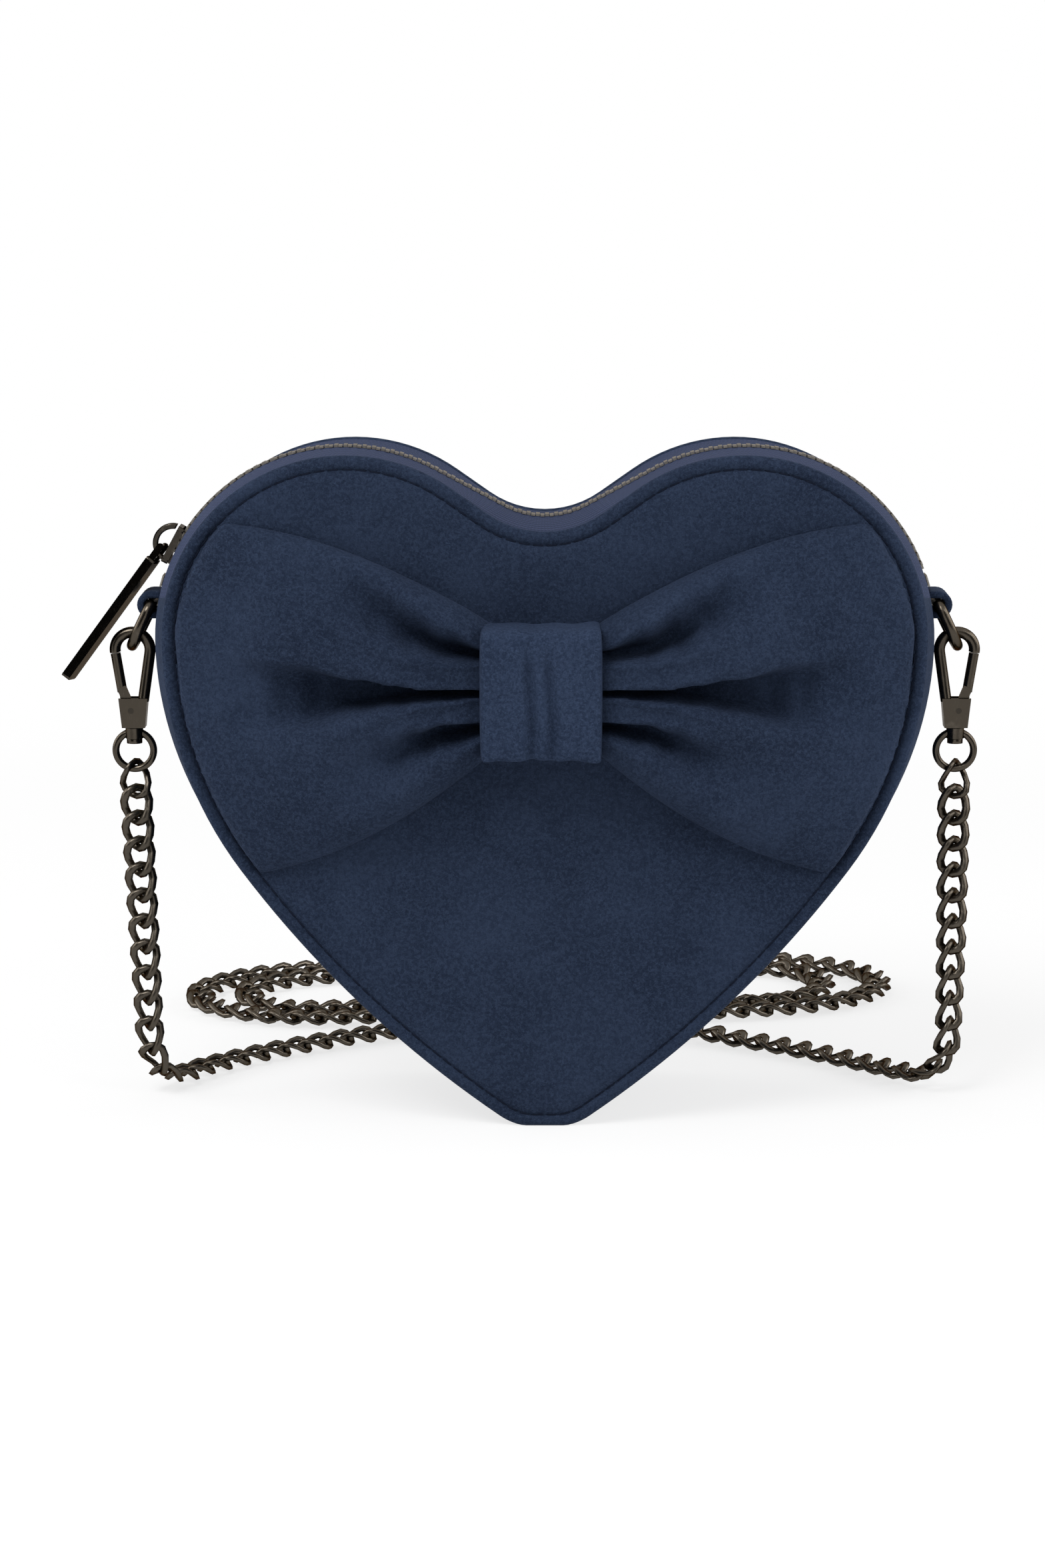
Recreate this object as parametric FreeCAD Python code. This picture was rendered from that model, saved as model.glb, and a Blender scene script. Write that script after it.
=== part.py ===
import FreeCAD, Part
import math
import os
from collections import namedtuple
from FreeCAD import Placement, Rotation, Vector

# Heart-shaped crossbody purse with a zip gusset, a bow and a chain strap, in millimetres.
# X runs to the viewer's right, Y away from the viewer, Z up; the origin is the middle of the tip's flat.

# Heart outline of the two panels, as tangent arcs from the tip up over the lobe to the dip
tip_flat = 5.0
tip_trim = 0.1
tip_radius = 16.0
tip_turn = 35.0
lower_radius = 290.0
lower_turn = 19.0
side_radius = 104.0
lobe_radius = 48.0
flank_length = 11.0
dip_turn = 35.0

# How the middle of the side wall differs from the panels: it swells at the sides and cuts the dip's corner
tip_swell = 3.0
lower_swell = 24.0
side_swell = -15.0
lobe_swell = 3.0
middle_flank_length = 20.9
middle_dip_turn = 28.0

# Layers of the bag
bag_depth = 56.0
panel_thickness = 2.5
panel_edge_round = 1.0
margin_width = 3.0
groove_width = 0.8
groove_depth = 0.5
wall_thickness = 1.5
wall_board_thickness = 1.0
board_thickness = 1.2
lining_thickness = 0.5
layer_gap = 0.25
seat_gap = 0.15
overrun = 5.0

# Zip
tape_thickness = 1.0
tape_edge = 1.2
zip_foot_drop = 0.6
lining_slit = 8.0
tooth_pitch = 2.5
tooth_length = 1.05
tooth_tail = 3.0
tooth_nose = 0.9
tooth_rise = 0.6
tooth_slot_gap = 0.15
zip_end_turn = 19.5
stop_length = 3.0
stop_gap = 0.4

# Zip slider and pull
slider_turn = 28.6
slider_length = 10.6
slider_width = 8.4
slider_plate = 1.2
slider_corner = 1.2
slider_gap = 0.3
flange_width = 0.8
wedge_length = 2.4
wedge_width = 1.6
bridge_width = 2.2
bridge_rise = 4.8
bridge_strap = 1.5
bridge_foot = 1.2
bridge_lift = 0.6
pull_length = 44.0
pull_width = 7.0
pull_thickness = 2.4
pull_bar_radius = 0.65
pull_axis_rise = 1.5
pull_axis_gap = 1.4
pull_window_length = 5.0
pull_rail = 1.0
pull_eye_width = 6.2
pull_eye_thickness = 1.7
pull_eye_length = 4.0
pull_corner = 0.8
pull_lean = 36.5
pull_twist = 10.0

# Tabs and D-rings
tab_width = 11.0
tab_thickness = 1.9
tab_bar_gap = 0.3
tab_turn = 10.05
ring_stand = 1.69
ring_wire_radius = 1.45
ring_half_width = 7.6
ring_drop = 12.9
ring_corner = 2.4
ring_lean = 26.0

# Trigger clasps
hook_radius = 4.7
hook_wire_radius = 1.5
hook_play = 0.6
hook_arm_drop = 14.0
hook_foot_x = 2.6
clasp_body_height = 8.0
clasp_body_top = 7.8
clasp_body_foot = 6.2
clasp_body_depth = 4.6
clasp_body_lap = 0.9
gate_radius = 1.35
gate_gap = 0.3
gate_slot_left = 1.4
gate_slot_half = 1.5
gate_slot_floor = 1.4
gate_side_gap = 0.1
lug_thickness = 1.7
lug_boss_radius = 1.7
lug_width = 2.4
pin_radius = 0.8
pin_running_gap = 0.05
pin_x = 0.6
pin_drop = 3.3
spring_radius = 1.5
spring_gap = 0.15
post_radius = 1.15
post_gap = 0.08
collar_radius = 2.4
collar_height = 2.9
collar_gap = 0.15
post_head_radius = 2.1
post_head_height = 1.2
eye_radius = 5.1
eye_wire_radius = 0.95
eye_rise = 0.3

# Bow
bow_height = 119.5
knot_width = 32.0
knot_height = 36.0
knot_depth = 19.0
knot_round = 6.0
wing_reach = 93.5
wing_half_height = 45.0
wing_crown = 16.0
# Each row is a cross-section of the wing: how far out it stands, half its height, its middle's
# height below the bow's own, and its crown, as shares of the reach, half height, half height and crown.
wing_section_shares = (
    (0.0, 0.37, 0.0, 0.75),
    (0.26, 0.59, 0.05, 1.0),
    (0.54, 0.83, 0.07, 0.82),
    (0.8, 0.95, 0.05, 0.45),
    (0.93, 0.72, -0.1, 0.25),
    (1.0, 0.42, -0.17, 0.12),
)

# Chain strap: one twisted oval link, repeated along the route
link_half_length = 4.75
link_half_width = 3.35
link_rise = 1.3
end_link_rise = 2.3
link_wire_radius = 0.95
link_pitch = 7.2
link_span_count = 8
drop_turn_count = 9
link_seat_gap = 0.1
floor_gap = 0.55
lay_height = link_rise + link_wire_radius + floor_gap

# The route's points, from below the left clasp down to the surface, round the oval coil behind the bag
# twice, over the two front strands and up to the right clasp; the last number is the height above lay_height.
chain_route = (
    (-110.0, 0.0, 58.0),
    (-109.0, 0.0, 32.0),
    (-108.0, 0.0, 1.8),
    (-92.5, 26.5, 0.0),
    (-73.0, 44.0, 0.0),
    (-50.0, 59.0, 0.0),
    (-28.0, 69.5, 0.0),
    (-4.0, 76.5, 0.0),
    (22.0, 81.0, 0.0),
    (48.0, 84.0, 0.0),
    (71.0, 88.0, 0.0),
    (89.0, 96.0, 0.0),
    (100.5, 108.0, 0.0),
    (103.5, 122.5, 0.0),
    (97.0, 136.5, 0.0),
    (82.0, 146.5, 0.0),
    (60.0, 151.5, 0.0),
    (34.0, 152.0, 0.0),
    (6.0, 150.5, 0.0),
    (-22.0, 147.5, 0.0),
    (-50.0, 143.5, 0.0),
    (-75.4, 137.6, 0.0),
    (-94.6, 127.2, 0.0),
    (-105.0, 112.0, 0.0),
    (-104.5, 96.0, 0.0),
    (-93.0, 83.5, 0.0),
    (-75.0, 76.5, 0.0),
    (-51.0, 78.0, 0.0),
    (-26.0, 83.5, 0.0),
    (0.0, 89.0, 0.0),
    (26.0, 92.5, 0.0),
    (50.0, 94.5, 0.0),
    (69.0, 97.5, 0.0),
    (79.5, 103.5, 0.0),
    (85.2, 113.3, 0.0),
    (85.2, 124.7, 0.0),
    (79.5, 134.5, 0.0),
    (68.0, 140.5, 0.0),
    (42.0, 141.5, 0.0),
    (14.0, 140.5, 0.0),
    (-14.0, 138.0, 0.0),
    (-42.0, 134.5, 0.0),
    (-62.0, 130.9, 0.0),
    (-75.2, 126.4, 0.0),
    (-85.0, 119.8, 0.0),
    (-90.4, 110.6, 0.0),
    (-90.0, 100.5, 0.0),
    (-83.5, 91.5, 0.0),
    (-72.0, 87.5, 0.0),
    (-54.0, 90.0, 0.0),
    (-36.0, 91.5, 1.2),
    (-18.0, 89.0, 6.6),
    (0.0, 82.5, 8.2),
    (17.0, 74.0, 7.2),
    (34.0, 65.0, 1.8),
    (52.0, 55.0, 0.0),
    (70.0, 43.5, 0.0),
    (88.0, 28.5, 0.0),
    (110.6, 0.2, 1.8),
    (111.0, 0.0, 32.0),
    (111.0, 0.0, 58.0),
)
left_drop_count = 2
left_run_count = 8
coil_count = 49
right_run_count = 58
route_corner_share = 0.45

# Derived places
side_turn = 90.0 - tip_turn - lower_turn
half_depth = bag_depth / 2
wall_half = half_depth - panel_thickness
HeartLine = namedtuple("HeartLine", "tip lower side lobe flank dip")
panel_line = HeartLine(tip_radius, lower_radius, side_radius, lobe_radius, flank_length, dip_turn)
middle_line = HeartLine(
    tip_radius + tip_swell,
    lower_radius + lower_swell,
    side_radius + side_swell,
    lobe_radius + lobe_swell,
    middle_flank_length,
    middle_dip_turn,
)


class HeartPath:
    """A closed heart outline of tangent arcs in the XZ plane, moved outwards by an outset."""

    def __init__(self, line, outset=0.0):
        self.arcs = []
        x, z, heading = tip_flat / 2, -outset - tip_trim, 0.0
        turns = (
            (line.tip, tip_turn),
            (line.lower, lower_turn),
            (line.side, side_turn),
            (line.lobe, 90.0 + line.dip),
        )
        for radius, turn in turns:
            reach = radius + outset
            centre_x = x - reach * math.sin(heading)
            centre_z = z + reach * math.cos(heading)
            stops = [heading + math.radians(turn) * step for step in (0.0, 0.5, 1.0)]
            points = [(centre_x + reach * math.sin(h), centre_z - reach * math.cos(h)) for h in stops]
            self.arcs.append(points)
            (x, z), heading = points[-1], stops[-1]
        self.lobe_x, self.lobe_z, self.lobe_reach = centre_x, centre_z, reach
        self.slope = math.radians(line.dip)
        self.flank = line.flank
        self.flank_start = (x, z)
        self.flank_end = (x - line.flank * math.cos(self.slope), z - line.flank * math.sin(self.slope))
        self.dip_reach = self.flank_end[0] / math.sin(self.slope)
        self.dip_z = self.flank_end[1] - self.dip_reach * (1 - math.cos(self.slope))

    def wire(self, y):
        """Closed wire of the outline at a depth."""

        def at(point, side):
            return Vector(side * point[0], y, point[1])

        right = [Part.Arc(*[at(p, 1) for p in arc]).toShape() for arc in self.arcs]
        right.append(Part.makeLine(at(self.flank_start, 1), at(self.flank_end, 1)))
        left = [Part.makeLine(at(self.flank_end, -1), at(self.flank_start, -1))]
        left += [Part.Arc(*[at(p, -1) for p in reversed(arc)]).toShape() for arc in reversed(self.arcs)]
        dip = Part.Arc(at(self.flank_end, 1), Vector(0, y, self.dip_z), at(self.flank_end, -1)).toShape()
        first = self.arcs[0][0]
        return Part.Wire(right + [dip] + left + [Part.makeLine(at(first, -1), at(first, 1))])

    def distance_at(self, turn_above_side):
        """Length along the outline from the dip's middle to a point of the lobe, given by its angle."""
        swing = self.slope + math.radians(90.0 - turn_above_side)
        return self.dip_reach * self.slope + self.flank + self.lobe_reach * swing

    def placement(self, distance):
        """Frame on the outline: X along it to the right, Z outwards; distance counts from the dip."""
        side = 1 if distance >= 0 else -1
        rest = abs(distance)
        dip_length = self.dip_reach * self.slope
        if rest < dip_length:
            slope = rest / self.dip_reach
            x = self.dip_reach * math.sin(slope)
            z = self.dip_z + self.dip_reach * (1 - math.cos(slope))
        elif rest < dip_length + self.flank:
            slope = self.slope
            run = rest - dip_length
            x = self.flank_end[0] + run * math.cos(slope)
            z = self.flank_end[1] + run * math.sin(slope)
        else:
            slope = self.slope - (rest - dip_length - self.flank) / self.lobe_reach
            x = self.lobe_x - self.lobe_reach * math.sin(slope)
            z = self.lobe_z + self.lobe_reach * math.cos(slope)
        turn = Rotation(Vector(0, 1, 0), math.degrees(-side * slope))
        return Placement(Vector(side * x, 0, z), turn)


panel_path = HeartPath(panel_line)
middle_path = HeartPath(middle_line)
ring_bar_reach = middle_path.lobe_reach + ring_stand
ring_bar_x = middle_path.lobe_x + ring_bar_reach * math.cos(math.radians(tab_turn))
ring_bar_height = middle_path.lobe_z + ring_bar_reach * math.sin(math.radians(tab_turn))
zip_foot_height = ring_bar_height - zip_foot_drop
reach_x = middle_path.lobe_x + middle_path.lobe_reach + overrun
reach_z = panel_path.lobe_z + panel_path.lobe_reach + overrun


def box(low, high):
    """Box between two corners."""
    size = [b - a for a, b in zip(low, high)]
    return Part.makeBox(*size, Vector(*low))


def mirrored(shape):
    """The same piece on the other side of the bag."""
    return shape.mirror(Vector(0, 0, 0), Vector(1, 0, 0))


def placed(shape, placement):
    """A copy of a piece in a frame."""
    copy = shape.copy()
    copy.Placement = placement.multiply(copy.Placement)
    return copy


def heart_plate(outset, y, thickness):
    """Flat heart plate from a depth backwards."""
    return Part.Face(HeartPath(panel_line, outset).wire(y)).extrude(Vector(0, thickness, 0))


def swelled_core(outset):
    """Solid that fills the bag's side wall out to an outset from the wall's outer face."""
    sections = [
        HeartPath(panel_line, outset).wire(-wall_half),
        HeartPath(middle_line, outset).wire(0),
        HeartPath(panel_line, outset).wire(wall_half),
    ]
    return Part.makeLoft(sections, True, False)


def wall_ring(inset, thickness):
    """Side wall all round, from an inset inwards."""
    return swelled_core(-inset).cut(swelled_core(-inset - thickness))


def slab(y_low, y_high, z_low, z_high):
    """Box as wide as the bag, for parting the side wall."""
    return box((-reach_x, y_low, z_low), (reach_x, y_high, z_high))


def front_panel():
    """Front panel with a rounded edge and a sewn groove inside its margin."""
    plate = heart_plate(0, -half_depth, panel_thickness)
    rim = [e for e in plate.Edges if abs(e.BoundBox.YMax + half_depth) < seat_gap]
    plate = plate.makeFillet(panel_edge_round, rim)
    outer = heart_plate(-margin_width, -half_depth - overrun, overrun + groove_depth)
    inner = heart_plate(-margin_width - groove_width, -half_depth - overrun, overrun + groove_depth)
    above = slab(-half_depth, half_depth, 0, reach_z)
    return plate.cut(outer.cut(inner)).common(above)


def back_panel():
    """Back panel, the front one turned about the bag's middle plane."""
    return front_panel().mirror(Vector(0, 0, 0), Vector(0, 1, 0))


def stiffener_boards():
    """Front and back boards, inside the side wall and against the panels."""
    inset = wall_thickness + wall_board_thickness + lining_thickness + layer_gap * 6
    front = heart_plate(-inset, -wall_half, board_thickness)
    return front, front.mirror(Vector(0, 0, 0), Vector(0, 1, 0))


def panel_linings():
    """Front and back linings, against the boards."""
    inset = wall_thickness + wall_board_thickness + lining_thickness + layer_gap * 6
    front = heart_plate(-inset, -wall_half + board_thickness, lining_thickness)
    return front, front.mirror(Vector(0, 0, 0), Vector(0, 1, 0))


def lower_gusset():
    """Suede side wall from one tab round the tip, which stands flat, to the other."""
    return wall_ring(0, wall_thickness).common(slab(-half_depth, half_depth, 0, zip_foot_height))


def gusset_board():
    """Stiffener inside the lower side wall."""
    ring = wall_ring(wall_thickness + layer_gap, wall_board_thickness)
    return ring.common(slab(-half_depth, half_depth, -overrun, zip_foot_height))


def lining_gusset():
    """Lining of the side wall, slit along the zip."""
    inset = wall_thickness + wall_board_thickness + layer_gap * 2
    return wall_ring(inset, lining_thickness).cut(slab(-lining_slit, lining_slit, zip_foot_height, reach_z))


def zip_tapes():
    """Front and rear zip tapes over the lobes and the dip."""
    ring = wall_ring(0, tape_thickness)
    front = ring.common(slab(-half_depth, -tape_edge, zip_foot_height, reach_z))
    rear = ring.common(slab(tape_edge, half_depth, zip_foot_height, reach_z))
    return front, rear


def tooth(side, length, nose):
    """One zip tooth that clamps the edge of a tape; side is -1 for the front row."""
    top = tooth_rise
    foot = -tape_thickness - tooth_rise
    slot_top = tooth_slot_gap
    slot_foot = -tape_thickness - tooth_slot_gap
    root = tape_edge - tooth_slot_gap
    corners = (
        (tooth_tail, top),
        (-nose, top),
        (-nose, foot),
        (tooth_tail, foot),
        (tooth_tail, slot_foot),
        (root, slot_foot),
        (root, slot_top),
        (tooth_tail, slot_top),
    )
    points = [Vector(-length / 2, side * y, z) for y, z in corners]
    return Part.Face(Part.makePolygon(points + points[:1])).extrude(Vector(length, 0, 0))


zip_right_end = middle_path.distance_at(zip_end_turn)
slider_distance = -middle_path.distance_at(slider_turn)
slider_frame = middle_path.placement(slider_distance)


def zip_teeth(side):
    """One row of teeth, left out where the slider's wedge parts the rows."""
    start = tooth_pitch / 4 * side
    count = int(2 * zip_right_end / tooth_pitch)
    wedge_low = slider_distance - slider_length / 2 - tooth_length
    wedge_high = wedge_low + wedge_length + 2 * tooth_length
    piece = tooth(side, tooth_length, tooth_nose)
    row = []
    for index in range(count):
        distance = start + (index - (count - 1) / 2) * tooth_pitch
        if not wedge_low < distance < wedge_high:
            row.append(placed(piece, middle_path.placement(distance)))
    return Part.Compound(row)


def zip_stops():
    """Metal stops clamped on both tapes at both ends of the teeth."""
    away = zip_right_end + stop_length / 2 + stop_gap
    pieces = []
    for distance in (-away, away):
        for side in (-1, 1):
            clip = tooth(side, stop_length, -stop_gap / 2)
            pieces.append(placed(clip, middle_path.placement(distance)))
    return Part.Compound(pieces)


# Heights of the slider above the tape's outer face, in the slider's own frame
slider_sag = middle_path.lobe_reach - math.sqrt(middle_path.lobe_reach**2 - (slider_length / 2) ** 2)
plate_foot = tooth_rise + slider_gap
plate_top = plate_foot + slider_plate
under_top = -tape_thickness - tooth_rise - slider_sag - slider_gap
under_foot = under_top - slider_plate
pull_axis_x = -slider_length / 2 + bridge_foot + pull_axis_gap + pull_bar_radius
pull_axis_z = plate_top + pull_axis_rise


def slider_body():
    """Slider's two plates with their flanges, joined by the wedge."""
    half_l, half_w = slider_length / 2, slider_width / 2
    plates = box((-half_l, -half_w, plate_foot), (half_l, half_w, plate_top))
    under = box((-half_l, -half_w, under_foot), (half_l, half_w, under_top))
    flange_foot = slider_gap
    under_flange_top = -tape_thickness - slider_sag - slider_gap
    solid = plates
    for side in (-1, 1):
        near, far = sorted((side * (half_w - flange_width), side * half_w))
        solid = solid.fuse(box((-half_l, near, flange_foot), (half_l, far, plate_foot)))
        under = under.fuse(box((-half_l, near, under_top), (half_l, far, under_flange_top)))
    wedge = box((-half_l, -wedge_width / 2, under_top), (-half_l + wedge_length, wedge_width / 2, plate_foot))
    solid = solid.fuse(under).fuse(wedge).removeSplitter()
    corners = [
        e
        for e in solid.Edges
        if abs(e.BoundBox.XMax - e.BoundBox.XMin) < seat_gap
        and abs(e.BoundBox.YMax - e.BoundBox.YMin) < seat_gap
        and abs(abs(e.BoundBox.YMax) - half_w) < seat_gap
    ]
    return placed(solid.makeFillet(slider_corner, corners), slider_frame)


def slider_bridge():
    """Sprung crook on the slider's top plate, open by a small gap at its upper end."""
    left = -slider_length / 2
    right = slider_length / 2
    top = plate_top + bridge_rise
    outer = Part.Arc(
        Vector(left, -bridge_width / 2, plate_top),
        Vector(0, -bridge_width / 2, top),
        Vector(right, -bridge_width / 2, plate_top + bridge_lift),
    ).toShape()
    inner = Part.Arc(
        Vector(right - bridge_strap, -bridge_width / 2, plate_top + bridge_lift),
        Vector(0, -bridge_width / 2, top - bridge_strap),
        Vector(left + bridge_foot, -bridge_width / 2, plate_top),
    ).toShape()
    ends = [(outer, inner), (inner, outer)]
    lines = [Part.makeLine(a.lastVertex(True).Point, b.firstVertex(True).Point) for a, b in ends]
    face = Part.Face(Part.Wire([outer, lines[0], inner, lines[1]]))
    return placed(face.extrude(Vector(0, bridge_width, 0)), slider_frame)


pull_axis = slider_frame.multVec(Vector(pull_axis_x, 0, pull_axis_z))
pull_lean_turn = Rotation(Vector(0, 1, 0), pull_lean)
pull_twist_turn = Rotation(Vector(0, 0, 1), -pull_twist)
pull_frame = Placement(pull_axis, pull_lean_turn.multiply(pull_twist_turn))


def zip_pull():
    """Flat bar pull with a slimmer windowed eye, whose cross bar runs under the bridge."""
    half_w, half_t = pull_width / 2, pull_thickness / 2
    eye_w, eye_t = pull_eye_width / 2, pull_eye_thickness / 2
    bar = box((-half_t, -half_w, -pull_length), (half_t, half_w, -pull_eye_length))
    flat = [e for e in bar.Edges if e.BoundBox.ZMax - e.BoundBox.ZMin < seat_gap]
    ends = [e for e in flat if e.BoundBox.YMax - e.BoundBox.YMin < seat_gap]
    bar = bar.makeFillet(pull_corner, ends)
    eye = box((-eye_t, -eye_w, -pull_window_length - pull_eye_length), (eye_t, eye_w, 0))
    nose = Part.makeCylinder(eye_t, pull_eye_width, Vector(0, -eye_w, 0), Vector(0, 1, 0))
    window_half = eye_w - pull_rail
    window = box((-pull_thickness, -window_half, -pull_window_length), (pull_thickness, window_half, overrun))
    rod = Part.makeCylinder(pull_bar_radius, pull_eye_width, Vector(0, -eye_w, 0), Vector(0, 1, 0))
    return placed(bar.fuse(eye).fuse(nose).cut(window).fuse(rod).removeSplitter(), pull_frame)


tab_outer_radius = ring_wire_radius + tab_bar_gap + tab_thickness


def side_tab():
    """Suede loop on the right side, sewn over the zip's end and folded round the D-ring's bar."""
    start = Vector(ring_bar_x, -tab_width / 2, ring_bar_height)
    along = Vector(0, 1, 0)
    solid = Part.makeCylinder(tab_outer_radius, tab_width, start, along)
    root = box(
        (ring_bar_x - tab_outer_radius - overrun, -tab_width / 2, ring_bar_height - tab_outer_radius),
        (ring_bar_x, tab_width / 2, ring_bar_height + tab_outer_radius),
    )
    hole = Part.makeCylinder(ring_wire_radius + tab_bar_gap, tab_width, start, along)
    return solid.fuse(root).removeSplitter().cut(hole).cut(swelled_core(seat_gap))


ring_frame = Placement(Vector(ring_bar_x, 0, ring_bar_height), Rotation(Vector(0, 1, 0), -ring_lean))
clasp_axis = ring_frame.multVec(Vector(0, 0, -ring_drop))


def d_ring():
    """Round-wire D-ring whose bar lies in the tab and whose bow hangs down."""
    half = ring_half_width
    knee = half - ring_corner
    leg_foot = -(ring_drop - half)
    diagonal = ring_corner * (1 - math.sqrt(0.5))
    path = Part.Wire([
        Part.makeLine(Vector(0, 0, 0), Vector(0, knee, 0)),
        Part.Arc(
            Vector(0, knee, 0),
            Vector(0, half - diagonal, -diagonal),
            Vector(0, half, -ring_corner),
        ).toShape(),
        Part.makeLine(Vector(0, half, -ring_corner), Vector(0, half, leg_foot)),
        Part.Arc(
            Vector(0, half, leg_foot),
            Vector(0, half * math.sqrt(0.5), leg_foot - half * math.sqrt(0.5)),
            Vector(0, 0, -ring_drop),
        ).toShape(),
    ])
    section = Part.Wire(Part.makeCircle(ring_wire_radius, Vector(0, 0, 0), Vector(0, 1, 0)))
    half_ring = path.makePipeShell([section], True, False)
    other = half_ring.mirror(Vector(0, 0, 0), Vector(0, 1, 0))
    return placed(half_ring.fuse(other).removeSplitter(), ring_frame)


# Heights of the clasp below the D-ring's wire, in a frame at that wire with X pointing away from the bag
clasp_frame = Placement(clasp_axis, Rotation())
hook_centre = -(hook_radius - hook_wire_radius - ring_wire_radius - hook_play)
arm_foot = hook_centre - hook_arm_drop
body_top = arm_foot + clasp_body_lap
body_foot = body_top - clasp_body_height
pin_height = body_top - pin_drop
foot_distance = math.hypot(hook_foot_x, hook_arm_drop)
foot_angle = math.atan2(hook_arm_drop, hook_foot_x)
tangent_angle = math.acos(hook_radius / foot_distance) - foot_angle


def hook_point(angle):
    """Point of the hook's arch, by its angle above the outward direction."""
    return Vector(hook_radius * math.cos(angle), 0, hook_centre + hook_radius * math.sin(angle))


nose_end = hook_point(tangent_angle)
gate_foot = Vector(hook_foot_x, 0, arm_foot)
gate_direction = (gate_foot - nose_end).normalize()


def clasp_hook():
    """Hook, body and riveted swivel post of a trigger clasp."""
    arm_start = Vector(-hook_foot_x, 0, arm_foot)
    arch_start = hook_point(math.pi - tangent_angle)
    path = Part.Wire([
        Part.makeLine(arm_start, arch_start),
        Part.Arc(arch_start, hook_point(math.pi / 2), nose_end).toShape(),
    ])
    section = Part.Wire(Part.makeCircle(hook_wire_radius, arm_start, arch_start - arm_start))
    hook = path.makePipeShell([section], True, False)
    outline = [
        Vector(-clasp_body_top / 2, -clasp_body_depth / 2, body_top),
        Vector(clasp_body_top / 2, -clasp_body_depth / 2, body_top),
        Vector(clasp_body_foot / 2, -clasp_body_depth / 2, body_foot),
        Vector(-clasp_body_foot / 2, -clasp_body_depth / 2, body_foot),
    ]
    body = Part.Face(Part.makePolygon(outline + outline[:1])).extrude(Vector(0, clasp_body_depth, 0))
    slot = box(
        (-gate_slot_left, -gate_slot_half, body_foot + gate_slot_floor),
        (clasp_body_top, gate_slot_half, body_top + overrun),
    )
    hole_start = Vector(pin_x, -clasp_body_depth / 2 - overrun / 2, pin_height)
    hole = Part.makeCylinder(pin_radius, clasp_body_depth + overrun, hole_start, Vector(0, 1, 0))
    shank_length = collar_height + 2 * collar_gap
    shank = Part.makeCylinder(post_radius, shank_length, Vector(0, 0, body_foot - shank_length))
    head_foot = body_foot - shank_length - post_head_height
    head = Part.makeCylinder(post_head_radius, post_head_height, Vector(0, 0, head_foot))
    room_low = (-gate_slot_left, -gate_slot_half, -bag_depth)
    gate_room = box(room_low, (clasp_body_top, gate_slot_half, body_top))
    frame_side = hook.cut(gate_room)
    solid = frame_side.fuse(body.cut(slot)).fuse(shank).fuse(head).removeSplitter()
    return placed(solid.cut(hole), clasp_frame)


lug_low = -gate_slot_half + gate_side_gap


def clasp_gate():
    """Gate bar with the lug that turns on the pin."""
    start = nose_end + gate_direction * gate_gap
    rise = (body_top + gate_gap + gate_radius - arm_foot) / -gate_direction.z
    length = (gate_foot - start).Length - rise
    bar = Part.makeCylinder(gate_radius, length, start, gate_direction)
    pin_point = Vector(pin_x, 0, pin_height)
    top_point = start + gate_direction * (length - gate_radius)
    lean = math.degrees(math.atan2(top_point.x - pin_x, top_point.z - pin_height))
    reach = (top_point - pin_point).Length
    arm = box((-lug_width / 2, lug_low, 0), (lug_width / 2, lug_low + lug_thickness, reach))
    arm = placed(arm, Placement(pin_point, Rotation(Vector(0, 1, 0), lean)))
    boss_start = Vector(pin_x, lug_low, pin_height)
    boss = Part.makeCylinder(lug_boss_radius, lug_thickness, boss_start, Vector(0, 1, 0))
    hole = Part.makeCylinder(pin_radius + pin_running_gap, lug_thickness, boss_start, Vector(0, 1, 0))
    return placed(bar.fuse(arm).fuse(boss).removeSplitter().cut(hole), clasp_frame)


def clasp_pin():
    """Rivet pin across the clasp's body."""
    start = Vector(pin_x, -clasp_body_depth / 2, pin_height)
    return placed(Part.makeCylinder(pin_radius, clasp_body_depth, start, Vector(0, 1, 0)), clasp_frame)


def clasp_spring():
    """Space of the gate's torsion spring, round the pin beside the lug."""
    low = lug_low + lug_thickness + gate_side_gap
    length = gate_slot_half - gate_side_gap - low
    start = Vector(pin_x, low, pin_height)
    sleeve = Part.makeCylinder(spring_radius, length, start, Vector(0, 1, 0))
    bore = Part.makeCylinder(pin_radius + spring_gap, length, start, Vector(0, 1, 0))
    return placed(sleeve.cut(bore), clasp_frame)


collar_top = body_foot - collar_gap
eye_centre = collar_top - collar_height / 2 + eye_rise - eye_radius
eye_bottom = clasp_axis.z + eye_centre - eye_radius


def clasp_eye():
    """Swivel eye: a ring with a bored collar that turns on the clasp's post."""
    ring = Part.makeTorus(eye_radius, eye_wire_radius, Vector(0, 0, eye_centre), Vector(0, 1, 0))
    collar = Part.makeCylinder(collar_radius, collar_height, Vector(0, 0, collar_top - collar_height))
    head_room = Part.makeCylinder(
        post_head_radius + collar_gap, post_head_height + collar_gap,
        Vector(0, 0, collar_top - collar_height - post_head_height - collar_gap),
    )
    bore_foot = Vector(0, 0, collar_top - collar_height)
    bore = Part.makeCylinder(post_radius + post_gap, collar_height + overrun, bore_foot)
    return placed(ring.fuse(collar).removeSplitter().cut(bore).cut(head_room), clasp_frame)


def bow_wing():
    """Right half of the bow: a crowned form that widens from the knot to the panel's edge."""
    sections = []
    inner = knot_width / 2
    for reach_share, height_share, drop_share, crown_share in wing_section_shares:
        x = inner + (wing_reach - inner) * reach_share
        middle = bow_height - wing_half_height * drop_share
        half = wing_half_height * height_share
        foot = Vector(x, -half_depth, middle - half)
        head = Vector(x, -half_depth, middle + half)
        crown = Vector(x, -half_depth - wing_crown * crown_share, middle)
        sections.append(Part.Wire([Part.Arc(foot, crown, head).toShape(), Part.makeLine(head, foot)]))
    return Part.makeLoft(sections, True, False)


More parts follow.
